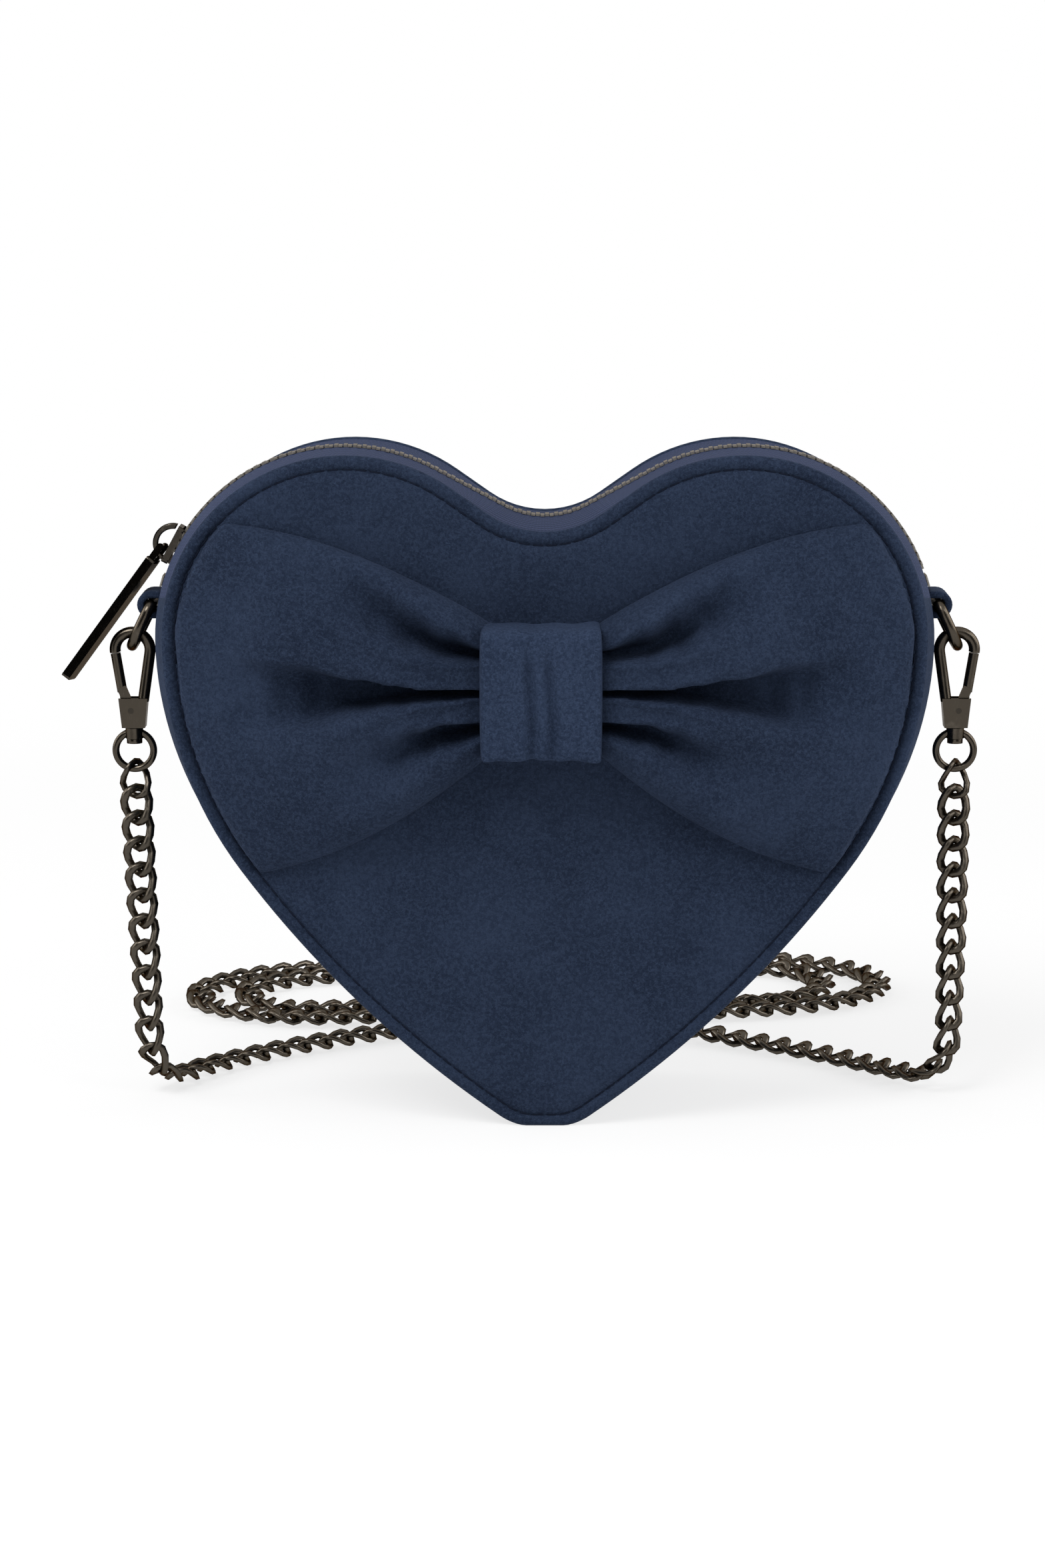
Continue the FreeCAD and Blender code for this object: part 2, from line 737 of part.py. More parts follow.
def bow_knot():
    """Padded knot across the middle of the bow."""
    low = (-knot_width / 2, -half_depth - knot_depth, bow_height - knot_height / 2)
    high = (knot_width / 2, -half_depth, bow_height + knot_height / 2)
    block = box(low, high)
    front = [e for e in block.Edges if abs(e.BoundBox.YMax + half_depth + knot_depth) < seat_gap]
    return block.makeFillet(knot_round, front)


def link_point(angle, rise):
    """Point of a link's twisted oval centreline."""
    return Vector(
        link_half_length * math.cos(angle), link_half_width * math.sin(angle), rise * math.sin(2 * angle)
    )


def link_tangent(angle, rise):
    """Direction of a link's centreline."""
    return Vector(
        -link_half_length * math.sin(angle), link_half_width * math.cos(angle), 2 * rise * math.cos(2 * angle)
    ).normalize()


def tangent_arc(start, end, corner):
    """Arc from start to end whose tangents meet at the corner."""
    middle = (start + end) * 0.5
    rise = corner - middle
    half_chord = (end - start).Length / 2
    sag = half_chord * math.tan(math.atan2(rise.Length, half_chord) / 2)
    return Part.Arc(start, middle + rise * (sag / rise.Length), end).toShape()


def biarc(start, start_tangent, end, end_tangent):
    """Two tangent arcs between two points with given directions."""
    chord = end - start
    along = chord.dot(start_tangent + end_tangent)
    spread = 2 * (1 - start_tangent.dot(end_tangent))
    handle = (-along + math.sqrt(along**2 + spread * chord.dot(chord))) / spread
    first_corner = start + start_tangent * handle
    last_corner = end - end_tangent * handle
    joint = (first_corner + last_corner) * 0.5
    return [tangent_arc(start, joint, first_corner), tangent_arc(joint, end, last_corner)]


def chain_link(rise):
    """One twisted oval link, as two swept halves joined at its ends."""
    edges = []
    for span in range(link_span_count // 2):
        first, last = (2 * math.pi * n / link_span_count for n in (span, span + 1))
        first_end = (link_point(first, rise), link_tangent(first, rise))
        last_end = (link_point(last, rise), link_tangent(last, rise))
        edges += biarc(*first_end, *last_end)
    section = Part.Wire(Part.makeCircle(link_wire_radius, link_point(0, rise), link_tangent(0, rise)))
    half = Part.Wire(edges).makePipeShell([section], True, False)
    other = half.copy()
    other.rotate(Vector(0, 0, 0), Vector(0, 0, 1), 180.0)
    return half.fuse(other)


class Route:
    """A path of straight runs and tangent arcs through a list of points, measured along its length."""

    def __init__(self, points):
        self.pieces = []
        self.ends = []
        self.radii = []
        here = points[0]
        travelled = 0.0
        for before, corner, after in zip(points, points[1:], points[2:]):
            into, out = (corner - before), (after - corner)
            cut = route_corner_share * min(into.Length, out.Length)
            into.normalize()
            out.normalize()
            turn = into.getAngle(out)
            start, end = corner - into * cut, corner + out * cut
            radius = cut / math.tan(turn / 2)
            self.radii.append(radius)
            axis = into.cross(out).normalize()
            travelled = self.add(here, into, (start - here).Length, None, travelled)
            travelled = self.add(start, into, radius * turn, (axis, radius), travelled)
            self.ends.append(travelled - radius * turn / 2)
            here = end
        last = points[-1] - here
        self.length = self.add(here, last.normalize(), (points[-1] - here).Length, None, travelled)

    def add(self, start, direction, length, bend, travelled):
        """Adds a run or an arc and returns the length so far."""
        self.pieces.append((travelled, Vector(start), Vector(direction), bend))
        return travelled + length

    def at(self, distance):
        """Point and direction at a distance along the path."""
        begin, start, direction, bend = [p for p in self.pieces if p[0] <= distance][-1]
        run = distance - begin
        if bend is None:
            return start + direction * run, direction
        axis, radius = bend
        turn = Rotation(axis, math.degrees(run / radius))
        centre = start + axis.cross(direction) * radius
        return centre + turn.multVec(start - centre), turn.multVec(direction)


def chain_nodes():
    """The strap's links in five groups: left drop, left run, coil, right run and right drop."""
    hang = eye_bottom + eye_wire_radius + link_wire_radius + link_seat_gap - link_half_length
    points = [Vector(-clasp_axis.x, 0, hang)]
    points += [Vector(x, y, z + lay_height) for x, y, z in chain_route]
    points.append(Vector(clasp_axis.x, 0, hang))
    route = Route(points)
    count = round(route.length / link_pitch)
    pitch = route.length / count
    print("chain length", round(route.length, 1), "links", count + 1, "pitch", round(pitch, 3))
    print("bend radii", [round(radius) for radius in route.radii])
    limits = [route.ends[n] for n in (left_drop_count, left_run_count, coil_count, right_run_count)]
    groups = [[] for _ in range(len(limits) + 1)]
    plain, end = chain_link(link_rise), chain_link(end_link_rise)
    spots = [route.at(min(index * pitch, route.length)) for index in range(count + 1)]
    widths = [None] * (count + 1)
    half = count // 2
    left_run = points[left_drop_count + 2] - points[left_drop_count + 1]
    right_run = points[right_run_count] - points[right_run_count + 1]
    for order, run in ((range(half), left_run), (range(count, half - 1, -1), right_run)):
        level = Vector(run.y, -run.x, 0).normalize()
        across = Vector(1, 0, 0)
        for step, index in enumerate(order):
            along = spots[index][1]
            if step <= drop_turn_count:
                share = step / drop_turn_count
                across = Vector(1, 0, 0) * (1 - share) + level * share
            across = (across - along * across.dot(along)).normalize()
            widths[index] = across
    for index, (point, along) in enumerate(spots):
        frame = Rotation(along, widths[index], Vector(0, 0, 0), "XYZ")
        piece = end if index in (0, count) else plain
        group = sum(index * pitch > limit for limit in limits)
        groups[group].append(placed(piece, Placement(point, frame)))
    names = ("chain_left_drop", "chain_left_run", "chain_coil", "chain_right_run", "chain_right_drop")
    return {name: Part.Compound(group) for name, group in zip(names, groups)}


def build():
    """All nodes by name."""
    nodes = {"front_panel": front_panel(), "back_panel": back_panel()}
    nodes["front_board"], nodes["back_board"] = stiffener_boards()
    nodes["lining_front"], nodes["lining_back"] = panel_linings()
    nodes["lower_gusset"] = lower_gusset()
    nodes["gusset_board"] = gusset_board()
    nodes["lining_gusset"] = lining_gusset()
    nodes["zip_tape_front"], nodes["zip_tape_rear"] = zip_tapes()
    nodes["zip_teeth_front"] = zip_teeth(-1)
    nodes["zip_teeth_rear"] = zip_teeth(1)
    nodes["zip_stops"] = zip_stops()
    nodes["slider_body"] = slider_body()
    nodes["slider_bridge"] = slider_bridge()
    nodes["zip_pull"] = zip_pull()
    nodes["bow_knot"] = bow_knot()
    paired = {
        "bow_wing": bow_wing(),
        "tab": side_tab(),
        "d_ring": d_ring(),
        "clasp_hook": clasp_hook(),
        "clasp_gate": clasp_gate(),
        "clasp_pin": clasp_pin(),
        "clasp_spring": clasp_spring(),
        "clasp_eye": clasp_eye(),
    }
    for name, shape in paired.items():
        nodes[name + "_right"] = shape
        nodes[name + "_left"] = mirrored(shape)
    nodes.update(chain_nodes())
    return nodes


os.makedirs("parts", exist_ok=True)
for node_name, node_shape in build().items():
    node_shape.exportStep(os.path.join("parts", node_name + ".step"))
    print(node_name, len(node_shape.Solids), node_shape.isValid(), round(node_shape.Volume, 1))
print("lobe centre", middle_path.lobe_x, middle_path.lobe_z, "radius", middle_path.lobe_reach)
print("pull axis", pull_axis, "clasp axis", clasp_axis, "pin height", clasp_axis.z + pin_height)
print("ring bar", ring_bar_x, ring_bar_height, "pull hinge", pull_frame.Rotation.multVec(Vector(0, 1, 0)))
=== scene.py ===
"""Heart-shaped purse in suede: padded panels, zip gusset, bow and chain strap round its frame."""

import logging
import math
from bisect import bisect_right
from dataclasses import dataclass
from enum import Enum
from typing import Callable, Iterable, Sequence

import bpy
from mathutils import Matrix, Vector, noise


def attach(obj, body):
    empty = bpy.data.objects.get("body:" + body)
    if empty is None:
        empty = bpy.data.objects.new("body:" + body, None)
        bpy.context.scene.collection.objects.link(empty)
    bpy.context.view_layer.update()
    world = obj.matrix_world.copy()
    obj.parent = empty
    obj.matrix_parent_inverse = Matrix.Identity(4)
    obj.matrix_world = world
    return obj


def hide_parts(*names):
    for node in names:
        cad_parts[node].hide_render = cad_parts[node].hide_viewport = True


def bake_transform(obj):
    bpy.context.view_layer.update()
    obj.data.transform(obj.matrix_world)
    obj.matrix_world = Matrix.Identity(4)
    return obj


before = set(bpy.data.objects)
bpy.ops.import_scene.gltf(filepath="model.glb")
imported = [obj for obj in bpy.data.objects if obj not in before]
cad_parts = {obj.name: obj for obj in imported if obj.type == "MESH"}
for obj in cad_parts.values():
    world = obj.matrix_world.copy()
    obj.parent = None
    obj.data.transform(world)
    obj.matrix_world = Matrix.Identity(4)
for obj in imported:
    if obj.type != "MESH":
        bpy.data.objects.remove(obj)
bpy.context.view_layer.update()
LOG = logging.getLogger("purse")
Colour = tuple[float, float, float]
Table = tuple[tuple[float, float], ...]
Placing = Callable[[float, float], Vector]
BAG = "bag"


class Half(Enum):
    """One of two opposite halves."""

    @property
    def word(self) -> str:
        """The half's name in piece names."""
        return self.name.lower()


class Side(Half):
    """The two sides of the purse, as seen by the viewer."""

    LEFT = -1
    RIGHT = 1


class Face(Half):
    """The two faces of the purse; the front one looks along -Y."""

    FRONT = -1
    BACK = 1


class Value:
    """A shader socket that takes part in Python arithmetic; each operator adds one Math node."""

    def __init__(self, graph: "Graph", socket: bpy.types.NodeSocket) -> None:
        """Wraps a socket of a graph."""
        self.graph = graph
        self.socket = socket

    def math(self, operation: str, *operands: "Value | float") -> "Value":
        """Adds a Math node with these inputs in order and gives its output."""
        return self.graph.add("ShaderNodeMath", {"operation": operation}, dict(enumerate(operands)))

    def __add__(self, other: "Value | float") -> "Value":
        """Sum."""
        return self.math("ADD", self, other)

    __radd__ = __add__

    def __sub__(self, other: "Value | float") -> "Value":
        """Difference."""
        return self.math("SUBTRACT", self, other)

    def __rsub__(self, other: float) -> "Value":
        """Difference from a number."""
        return self.math("SUBTRACT", other, self)

    def __mul__(self, other: "Value | float") -> "Value":
        """Product."""
        return self.math("MULTIPLY", self, other)

    __rmul__ = __mul__

    def __truediv__(self, other: "Value | float") -> "Value":
        """Quotient."""
        return self.math("DIVIDE", self, other)

    def __pow__(self, other: float) -> "Value":
        """Power."""
        return self.math("POWER", self, other)

    def __abs__(self) -> "Value":
        """Absolute value."""
        return self.math("ABSOLUTE", self)

    def fraction(self) -> "Value":
        """Part after the decimal point."""
        return self.math("FRACT", self)

    def within(self, low: float, high: float) -> "Value":
        """Eased share from 0 at low to 1 at high."""
        inputs = {"Value": self, "From Min": low, "From Max": high}
        return self.graph.add("ShaderNodeMapRange", {"interpolation_type": "SMOOTHSTEP"}, inputs)


class Graph:
    """Nodes of one material or world."""

    def __init__(self, tree: bpy.types.NodeTree) -> None:
        """Starts from an empty tree."""
        self.tree = tree
        tree.nodes.clear()

    def node(self, kind: str, settings: dict, inputs: dict) -> bpy.types.Node:
        """Adds a node.

        Args:
            kind: The node's type.
            settings: Its own settings, set first.
            inputs: Values or links of its sockets, by name or number.

        Returns:
            The node.
        """
        made = self.tree.nodes.new(kind)
        for key, setting in settings.items():
            setattr(made, key, setting)
        for key, given in inputs.items():
            socket = made.inputs[key]
            if isinstance(given, Value):
                self.tree.links.new(given.socket, socket)
            elif isinstance(given, tuple) and len(given) == 3 and socket.type == "RGBA":
                socket.default_value = (*given, 1.0)
            else:
                socket.default_value = given
        return made

    def add(self, kind: str, settings: dict, inputs: dict, output: str | int = 0) -> Value:
        """Adds a node and wraps the output that is wanted."""
        return Value(self, self.node(kind, settings, inputs).outputs[output])

    def place(self, source: str = "Object") -> Value:
        """The surface's own coordinates, in metres for Object."""
        return self.add("ShaderNodeTexCoord", {}, {}, source)

    def grain(self, where: Value, scale: float, detail: float, rough: float, swirl: float = 0.0) -> Value:
        """Cloud noise from 0 to 1 by its cells per unit, octaves, their weight and its distortion."""
        inputs = {"Scale": scale, "Detail": detail, "Roughness": rough, "Distortion": swirl}
        return self.add("ShaderNodeTexNoise", {}, {"Vector": where, **inputs})

    def blend(self, share: Value, low: "Colour | Value", high: "Colour | Value") -> Value:
        """Colour between two others.

        Args:
            share: 0 for the first, 1 for the second.
            low: First colour.
            high: Second colour.

        Returns:
            The mixed colour.
        """
        made = self.node("ShaderNodeMix", {"data_type": "RGBA"}, {"Factor": share})
        for socket, given in ((made.inputs[6], low), (made.inputs[7], high)):
            if isinstance(given, Value):
                self.tree.links.new(given.socket, socket)
            else:
                socket.default_value = (*given, 1.0)
        return Value(self, made.outputs[2])

    def bump(self, height: Value, strength: float, depth: float) -> Value:
        """Surface normal of a height from 0 to 1 that is this many metres deep."""
        inputs = {"Height": height, "Strength": strength, "Distance": depth}
        return self.add("ShaderNodeBump", {}, inputs)

    def surface(self, inputs: dict) -> None:
        """Ends the material in one Principled shader with these inputs."""
        shader = self.add("ShaderNodeBsdfPrincipled", {}, inputs)
        self.node("ShaderNodeOutputMaterial", {}, {"Surface": shader})


@dataclass(frozen=True)
class Finish:
    """A named finish; each kind draws its own nodes."""

    name: str
    slot: str

    def draw(self, graph: Graph) -> None:
        """Adds the finish's nodes to a graph."""
        raise NotImplementedError

    def material(self) -> bpy.types.Material:
        """The finish's material, made once."""
        known = bpy.data.materials.get(self.name)
        if known is None:
            known = bpy.data.materials.new(self.name)
            known.use_nodes = True
            self.draw(Graph(known.node_tree))
        return known

    def dress(self, piece: bpy.types.Object) -> None:
        """Gives a new piece this finish."""
        piece.data.materials.clear()
        piece.data.materials.append(self.material())

    def repaint(self, nodes: Iterable[str]) -> None:
        """Gives carried-over frame nodes this finish."""
        for name in nodes:
            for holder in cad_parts[name].material_slots:
                holder.material = self.material()

    def settle(self, piece: bpy.types.Object, node: str, fill: float | None = None) -> None:
        """Dresses a piece that takes the place of a node of the bag.

        Args:
            piece: The piece.
            node: The node.
            fill: How tightly the piece is filled, if it is padded; not used.
        """
        self.dress(piece)
        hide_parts(node)
        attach(piece, BAG)
        LOG.info("%s: %d faces", piece.name, len(piece.data.polygons))


@dataclass(frozen=True)
class Suede(Finish):
    """Brushed navy suede: a cloudy nap with fine swirled creases."""

    deep: Colour = (0.0062, 0.0108, 0.0238)
    light: Colour = (0.0280, 0.0428, 0.0805)
    cloud_scale: float = 36.0
    nap_scale: float = 520.0
    crease_scale: float = 950.0
    fibre_scale: float = 3000.0
    crease_height: float = 0.00022
    crease_sharp: float = 8.0
    brushed: tuple[float, float] = (0.315, 0.895)

    def draw(self, graph: Graph) -> None:
        """Colour and bump from cloud, nap, crease and fibre noises."""
        where = graph.place()
        cloud = graph.grain(where, self.cloud_scale, detail=3.0, rough=0.5)
        nap = graph.grain(where, self.nap_scale, detail=4.0, rough=0.65, swirl=1.0)
        swirl = graph.grain(where, self.crease_scale, detail=2.0, rough=0.55, swirl=3.2)
        broken = graph.grain(where, self.crease_scale * 1.2, detail=1.0, rough=0.5)
        crease = (1.0 - abs(swirl * 2.0 - 1.0)) ** self.crease_sharp * broken.within(0.40, 0.62)
        fibre = graph.grain(where, self.fibre_scale, detail=2.0, rough=0.6)
        share = cloud * 0.32 + nap * 0.24 + crease * 0.42 + fibre * 0.50
        colour = graph.blend(share.within(*self.brushed), self.deep, self.light)
        height = nap * 0.4 + crease * 0.55 + fibre * 0.3
        graph.surface({
            "Base Color": colour,
            "Roughness": 0.93 - nap * 0.1,
            "Specular IOR Level": 0.08,
            "Sheen Weight": 0.03,
            "Sheen Roughness": 0.45,
            "Sheen Tint": (0.45, 0.6, 1.0, 1.0),
            "Normal": graph.bump(height, 0.7, self.crease_height),
        })


@dataclass(frozen=True)
class TapeWeave(Finish):
    """Navy zip tape: a fine herringbone weave along the tape's own map, with painted shade along each
    band's edge.
    """

    dark: Colour = (0.0080, 0.0125, 0.0310)
    pale: Colour = (0.0720, 0.0940, 0.1800)
    length: float = 0.31
    width: float = 0.0243
    rib: float = 0.0013
    band: float = 0.0024
    fuzz_scale: float = 1500.0
    thread_height: float = 0.0003

    def draw(self, graph: Graph) -> None:
        """Slanting ribs that turn back at each band's edge, where the colour is darkened as painted
        shade.
        """
        split = graph.node("ShaderNodeSeparateXYZ", {}, {"Vector": graph.place("UV")})
        along = Value(graph, split.outputs[0]) * self.length
        across = Value(graph, split.outputs[1]) * self.width
        fold = abs((across / self.band).fraction() - 0.5)
        zigzag = fold * self.band * 2.0
        rib = abs(((along + zigzag) / self.rib).fraction() - 0.5) * 2.0
        fuzz = graph.grain(graph.place(), self.fuzz_scale, detail=3.0, rough=0.6)
        # Painted shade: the colour drops along each band's edge, where the weave's bump dips into a
        # groove.
        thread = rib.within(0.1, 0.9) * 0.7 + fuzz * 0.35 - fold.within(0.30, 0.48) * 0.55
        graph.surface({
            "Base Color": graph.blend(thread, self.dark, self.pale),
            "Roughness": 0.75 + fuzz * 0.15,
            "Specular IOR Level": 0.08,
            "Normal": graph.bump(thread, 0.8, self.thread_height),
        })


@dataclass(frozen=True)
class Metal(Finish):
    """Plated gunmetal with soft blotches, fine scratches and a trace of wear."""

    tint: Colour = (0.072, 0.061, 0.048)
    worn: Colour = (0.170, 0.147, 0.120)
    gloss: float = 0.16
    spread: float = 0.12
    scratch: float = 0.2
    blotch_scale: float = 260.0
    line_scale: float = 3800.0
    line_stretch: tuple[float, float, float] = (1.0, 1.0, 0.12)
    line_height: float = 0.00005
    edge: tuple[float, float, float, float] = (0.30, 0.27, 0.24, 1.0)

    def draw(self, graph: Graph) -> None:
        """Colour and gloss from blotches and scratches."""
        where = graph.place()
        blotch = graph.grain(where, self.blotch_scale, detail=4.0, rough=0.6)
        stretch = graph.add("ShaderNodeMapping", {}, {"Vector": where, "Scale": self.line_stretch})
        line = graph.grain(stretch, self.line_scale, detail=2.0, rough=0.5)
        wear = blotch.within(0.55, 0.8) * 0.35 + line.within(0.6, 0.75) * self.scratch
        graph.surface({
            "Base Color": graph.blend(wear, self.tint, self.worn),
            "Metallic": 1.0,
            "Specular Tint": self.edge,
            "Roughness": self.gloss + blotch * self.spread + line * 0.05,
            "Normal": graph.bump(line, 0.06, self.line_height),
        })


@dataclass(frozen=True)
class Grained(Finish):
    """One noise between two colours, such as twisted thread or flecked board."""

    low: Colour
    high: Colour
    scale: float
    detail: float
    rough: float
    swirl: float
    matt: float
    spread: float
    specular: float
    strength: float
    height: float

    def draw(self, graph: Graph) -> None:
        """Colour, gloss and bump from the same noise."""
        grain = graph.grain(graph.place(), self.scale, self.detail, self.rough, self.swirl)
        graph.surface({
            "Base Color": graph.blend(grain, self.low, self.high),
            "Roughness": grain * self.spread + self.matt,
            "Specular IOR Level": self.specular,
            "Normal": graph.bump(grain, self.strength, self.height),
        })


@dataclass(frozen=True)
class LiningCloth(Finish):
    """Plain woven lining."""

    warp: Colour = (0.055, 0.058, 0.070)
    weft: Colour = (0.095, 0.100, 0.118)
    pitch: float = 0.0006
    weave_height: float = 0.0001

    def draw(self, graph: Graph) -> None:
        """Over-and-under weave in the panel's plane."""
        split = graph.node("ShaderNodeSeparateXYZ", {}, {"Vector": graph.place()})
        over = abs((Value(graph, split.outputs[0]) / self.pitch).fraction() - 0.5)
        under = abs((Value(graph, split.outputs[2]) / self.pitch).fraction() - 0.5)
        weave = over + under
        graph.surface({
            "Base Color": graph.blend(weave, self.warp, self.weft),
            "Roughness": 0.6 + weave * 0.2,
            "Normal": graph.bump(weave, 0.5, self.weave_height),
        })


SUEDE = Suede("navy_suede", "suede")
# Lighter copy of the navy suede for the knot: painted light that makes the knot's front read brighter
# than the panel.
KNOT_SUEDE_PAINTED_LIGHT = Suede("navy_suede_painted_lighter", "suede", (0.0080, 0.0140, 0.0308), (0.0364, 0.0556, 0.1046))
TAPE = TapeWeave("woven_zip_tape", "zip_tape")
SATIN_METAL = Metal("satin_gunmetal", "gunmetal")
CHAIN_METAL = Metal("brushed_gunmetal", "gunmetal", (0.078, 0.067, 0.054), (0.19, 0.165, 0.135), 0.24)
BRIGHT_METAL = Metal("polished_gunmetal", "polished_metal", (0.046, 0.040, 0.033), gloss=0.1, spread=0.08)
TOOTH_METAL = Metal("tooth_gunmetal", "gunmetal", (0.330, 0.306, 0.268), (0.54, 0.50, 0.44), 0.28)
LINING = LiningCloth("lining_cloth", "lining")
THREAD = Grained(
    "navy_thread",
    "suede",
    low=(0.0030, 0.0052, 0.0130),
    high=(0.0080, 0.0130, 0.0290),
    scale=2400.0,
    detail=2.0,
    rough=0.5,
    swirl=1.0,
    matt=0.6,
    spread=0.2,
    specular=0.1,
    strength=0.5,
    height=0.0001,
)
BOARD = Grained(
    "fibre_board",
    "board",
    low=(0.20, 0.17, 0.13),
    high=(0.36, 0.32, 0.26),
    scale=700.0,
    detail=5.0,
    rough=0.7,
    swirl=0.0,
    matt=0.8,
    spread=0.15,
    specular=0.5,
    strength=0.3,
    height=0.0002,
)


class Bench:
    """Hand tools shared by the makers: selecting, primitives, edit mode, modifiers."""

    MERGE_GAP = 0.00001
    PUFF_QUALITY = 6
    PUFF_PRESSURE = 4.0
    PUFF_STEPS = 20

    @staticmethod
    def clear() -> None:
        """Leaves edit mode and selects nothing."""
        if bpy.context.mode != "OBJECT":
            bpy.ops.object.mode_set(mode="OBJECT")
        bpy.ops.object.select_all(action="DESELECT")

    @staticmethod
    def pick(piece: bpy.types.Object) -> None:
        """Selects one piece and makes it active."""
        Bench.clear()
        piece.select_set(True)
        bpy.context.view_layer.objects.active = piece

    @staticmethod
    def edit(piece: bpy.types.Object, *jobs: Callable[[], object]) -> None:
        """Runs edit-mode jobs on the whole of a piece.

        Args:
            piece: The piece.
            jobs: Calls of edit-mode operators, in order.
        """
        Bench.pick(piece)
        bpy.ops.object.mode_set(mode="EDIT")
        bpy.ops.mesh.select_all(action="SELECT")
        for job in jobs:
            job()
        bpy.ops.object.mode_set(mode="OBJECT")

    @staticmethod
    def modify(piece: bpy.types.Object, kind: str, **settings: object) -> None:
        """Adds a modifier and applies it.

        Args:
            piece: The piece.
            kind: The modifier's type.
            settings: Its settings.
        """
        Bench.pick(piece)
        modifier = piece.modifiers.new(kind.lower(), kind)
        for key, setting in settings.items():
            setattr(modifier, key, setting)
        bpy.ops.object.modifier_apply(modifier=modifier.name)

    @staticmethod
    def cloth(name: str, columns: int, rows: int, place: Placing, away: Vector) -> bpy.types.Object:
        """A grid laid where a function says, its faces turned away from a point.

        Args:
            name: Name of the piece.
            columns: Faces along.
            rows: Faces across.
            place: Gives the point for shares along and across.
            away: Point that the faces look away from.

        Returns:
            The piece, with the grid's own map.
        """
        Bench.clear()
        bpy.ops.mesh.primitive_grid_add(x_subdivisions=columns, y_subdivisions=rows, size=1.0)
        piece = bpy.context.object
        piece.name = piece.data.name = name
        for vertex in piece.data.vertices:
            vertex.co = place(vertex.co.x + 0.5, vertex.co.y + 0.5)
        Bench.edit(piece, lambda: bpy.ops.mesh.remove_doubles(threshold=Bench.MERGE_GAP))
        outward = sum((face.center - away).dot(face.normal) * face.area for face in piece.data.polygons)
        if outward < 0:
            Bench.edit(piece, bpy.ops.mesh.flip_normals)
        return piece

    @staticmethod
    def smooth(piece: bpy.types.Object, angle: float = 50.0) -> None:
        """Shades a piece smooth below an angle in degrees."""
        Bench.pick(piece)
        bpy.ops.object.shade_smooth_by_angle(angle=math.radians(angle))

    @staticmethod
    def joined(name: str, model: bpy.types.Object, places: Sequence[Matrix]) -> bpy.types.Object:
        """Copies of a model, each with its own mesh, joined into one piece.

        Args:
            name: Name of the piece.
            model: The model, at the origin.
            places: Where each copy goes.

        Returns:
            The joined piece.
        """
        Bench.clear()
        copies = []
        for matrix in places:
            copy = model.copy()
            copy.data = model.data.copy()
            copy.data.transform(matrix)
            bpy.context.scene.collection.objects.link(copy)
            copy.select_set(True)
            copies.append(copy)
        bpy.context.view_layer.objects.active = copies[0]
        bpy.ops.object.join()
        copies[0].name = copies[0].data.name = name
        return copies[0]

    @staticmethod
    def swell(piece: bpy.types.Object, voxel: float, limit: Callable[[Vector], float]) -> None:
        """Remeshes a closed shape and puffs it up as pressed cloth.

        Args:
            piece: The piece.
            voxel: Size of the new faces.
            limit: The farthest that a point may move, by its place.
        """
        Bench.modify(piece, "REMESH", mode="VOXEL", voxel_size=voxel)
        before = [vertex.co.copy() for vertex in piece.data.vertices]
        Bench.pick(piece)
        modifier = piece.modifiers.new("puff", "CLOTH")
        modifier.settings.quality = Bench.PUFF_QUALITY
        modifier.settings.use_pressure = True
        modifier.settings.uniform_pressure_force = Bench.PUFF_PRESSURE
        modifier.settings.effector_weights.gravity = 0.0
        modifier.point_cache.frame_end = Bench.PUFF_STEPS
        for step in range(1, Bench.PUFF_STEPS + 1):
            bpy.context.scene.frame_set(step)
        bpy.ops.object.modifier_apply(modifier=modifier.name)
        bpy.context.scene.frame_set(1)
        for vertex, start in zip(piece.data.vertices, before):
            move = vertex.co - start
            most = limit(start)
            if move.length > most:
                vertex.co = start + move * (most / move.length)


@dataclass(frozen=True)
class HeartLine:
    """Half of a heart outline as tangent arcs, from the tip over the lobe to the dip; metres, degrees."""

    tip: float
    lower: float
    side: float
    lobe: float
    flank: float
    dip: float
    flat: float = 0.005
    trim: float = 0.0001
    tip_turn: float = 35.0
    lower_turn: float = 19.0
    side_turn: float = 36.0
    steps: tuple[int, ...] = (8, 20, 16, 36)
    flank_steps: int = 5
    dip_steps: int = 6

    def half(self, inset: float = 0.0) -> list[Vector]:
        """Points of the right half in the XZ plane.

        Args:
            inset: How far inside the outline they run.

        Returns:
            Points from the tip's middle to the dip's middle, as many for every heart.
        """
        heading = 0.0
        foot = inset - self.trim
        points = [Vector((0.0, 0.0, foot)), Vector((self.flat / 2, 0.0, foot))]
        radii = (self.tip, self.lower, self.side, self.lobe)
        turns = (self.tip_turn, self.lower_turn, self.side_turn, 90.0 + self.dip)
        for radius, turn, steps in zip(radii, turns, self.steps):
            reach = radius - inset
            start = points[-1]
            centre = start + Vector((-math.sin(heading), 0.0, math.cos(heading))) * reach
            for step in range(1, steps + 1):
                angle = heading + math.radians(turn) * step / steps
                points.append(centre + Vector((math.sin(angle), 0.0, -math.cos(angle))) * reach)
            heading += math.radians(turn)
        slope = math.radians(self.dip)
        start = points[-1]
        end = start - Vector((math.cos(slope), 0.0, math.sin(slope))) * self.flank
        points += [start.lerp(end, step / self.flank_steps) for step in range(1, self.flank_steps + 1)]
        reach = end.x / math.sin(slope)
        for step in range(1, self.dip_steps + 1):
            angle = slope * (1 - step / self.dip_steps)
            height = end.z + reach * (math.cos(slope) - math.cos(angle))
            points.append(Vector((reach * math.sin(angle), 0.0, height)))
        for point in points:
            point.z = max(point.z, 0.0)
        return points

    def loop(self, inset: float = 0.0) -> list[Vector]:
        """Closed outline, up the right side and down the left one; its first point isn't repeated."""
        right = self.half(inset)
        return right + [mirrored(point) for point in reversed(right[1:-1])]


def mirrored(point: Vector) -> Vector:
    """The same point on the other side."""
    return Vector((-point.x, point.y, point.z))


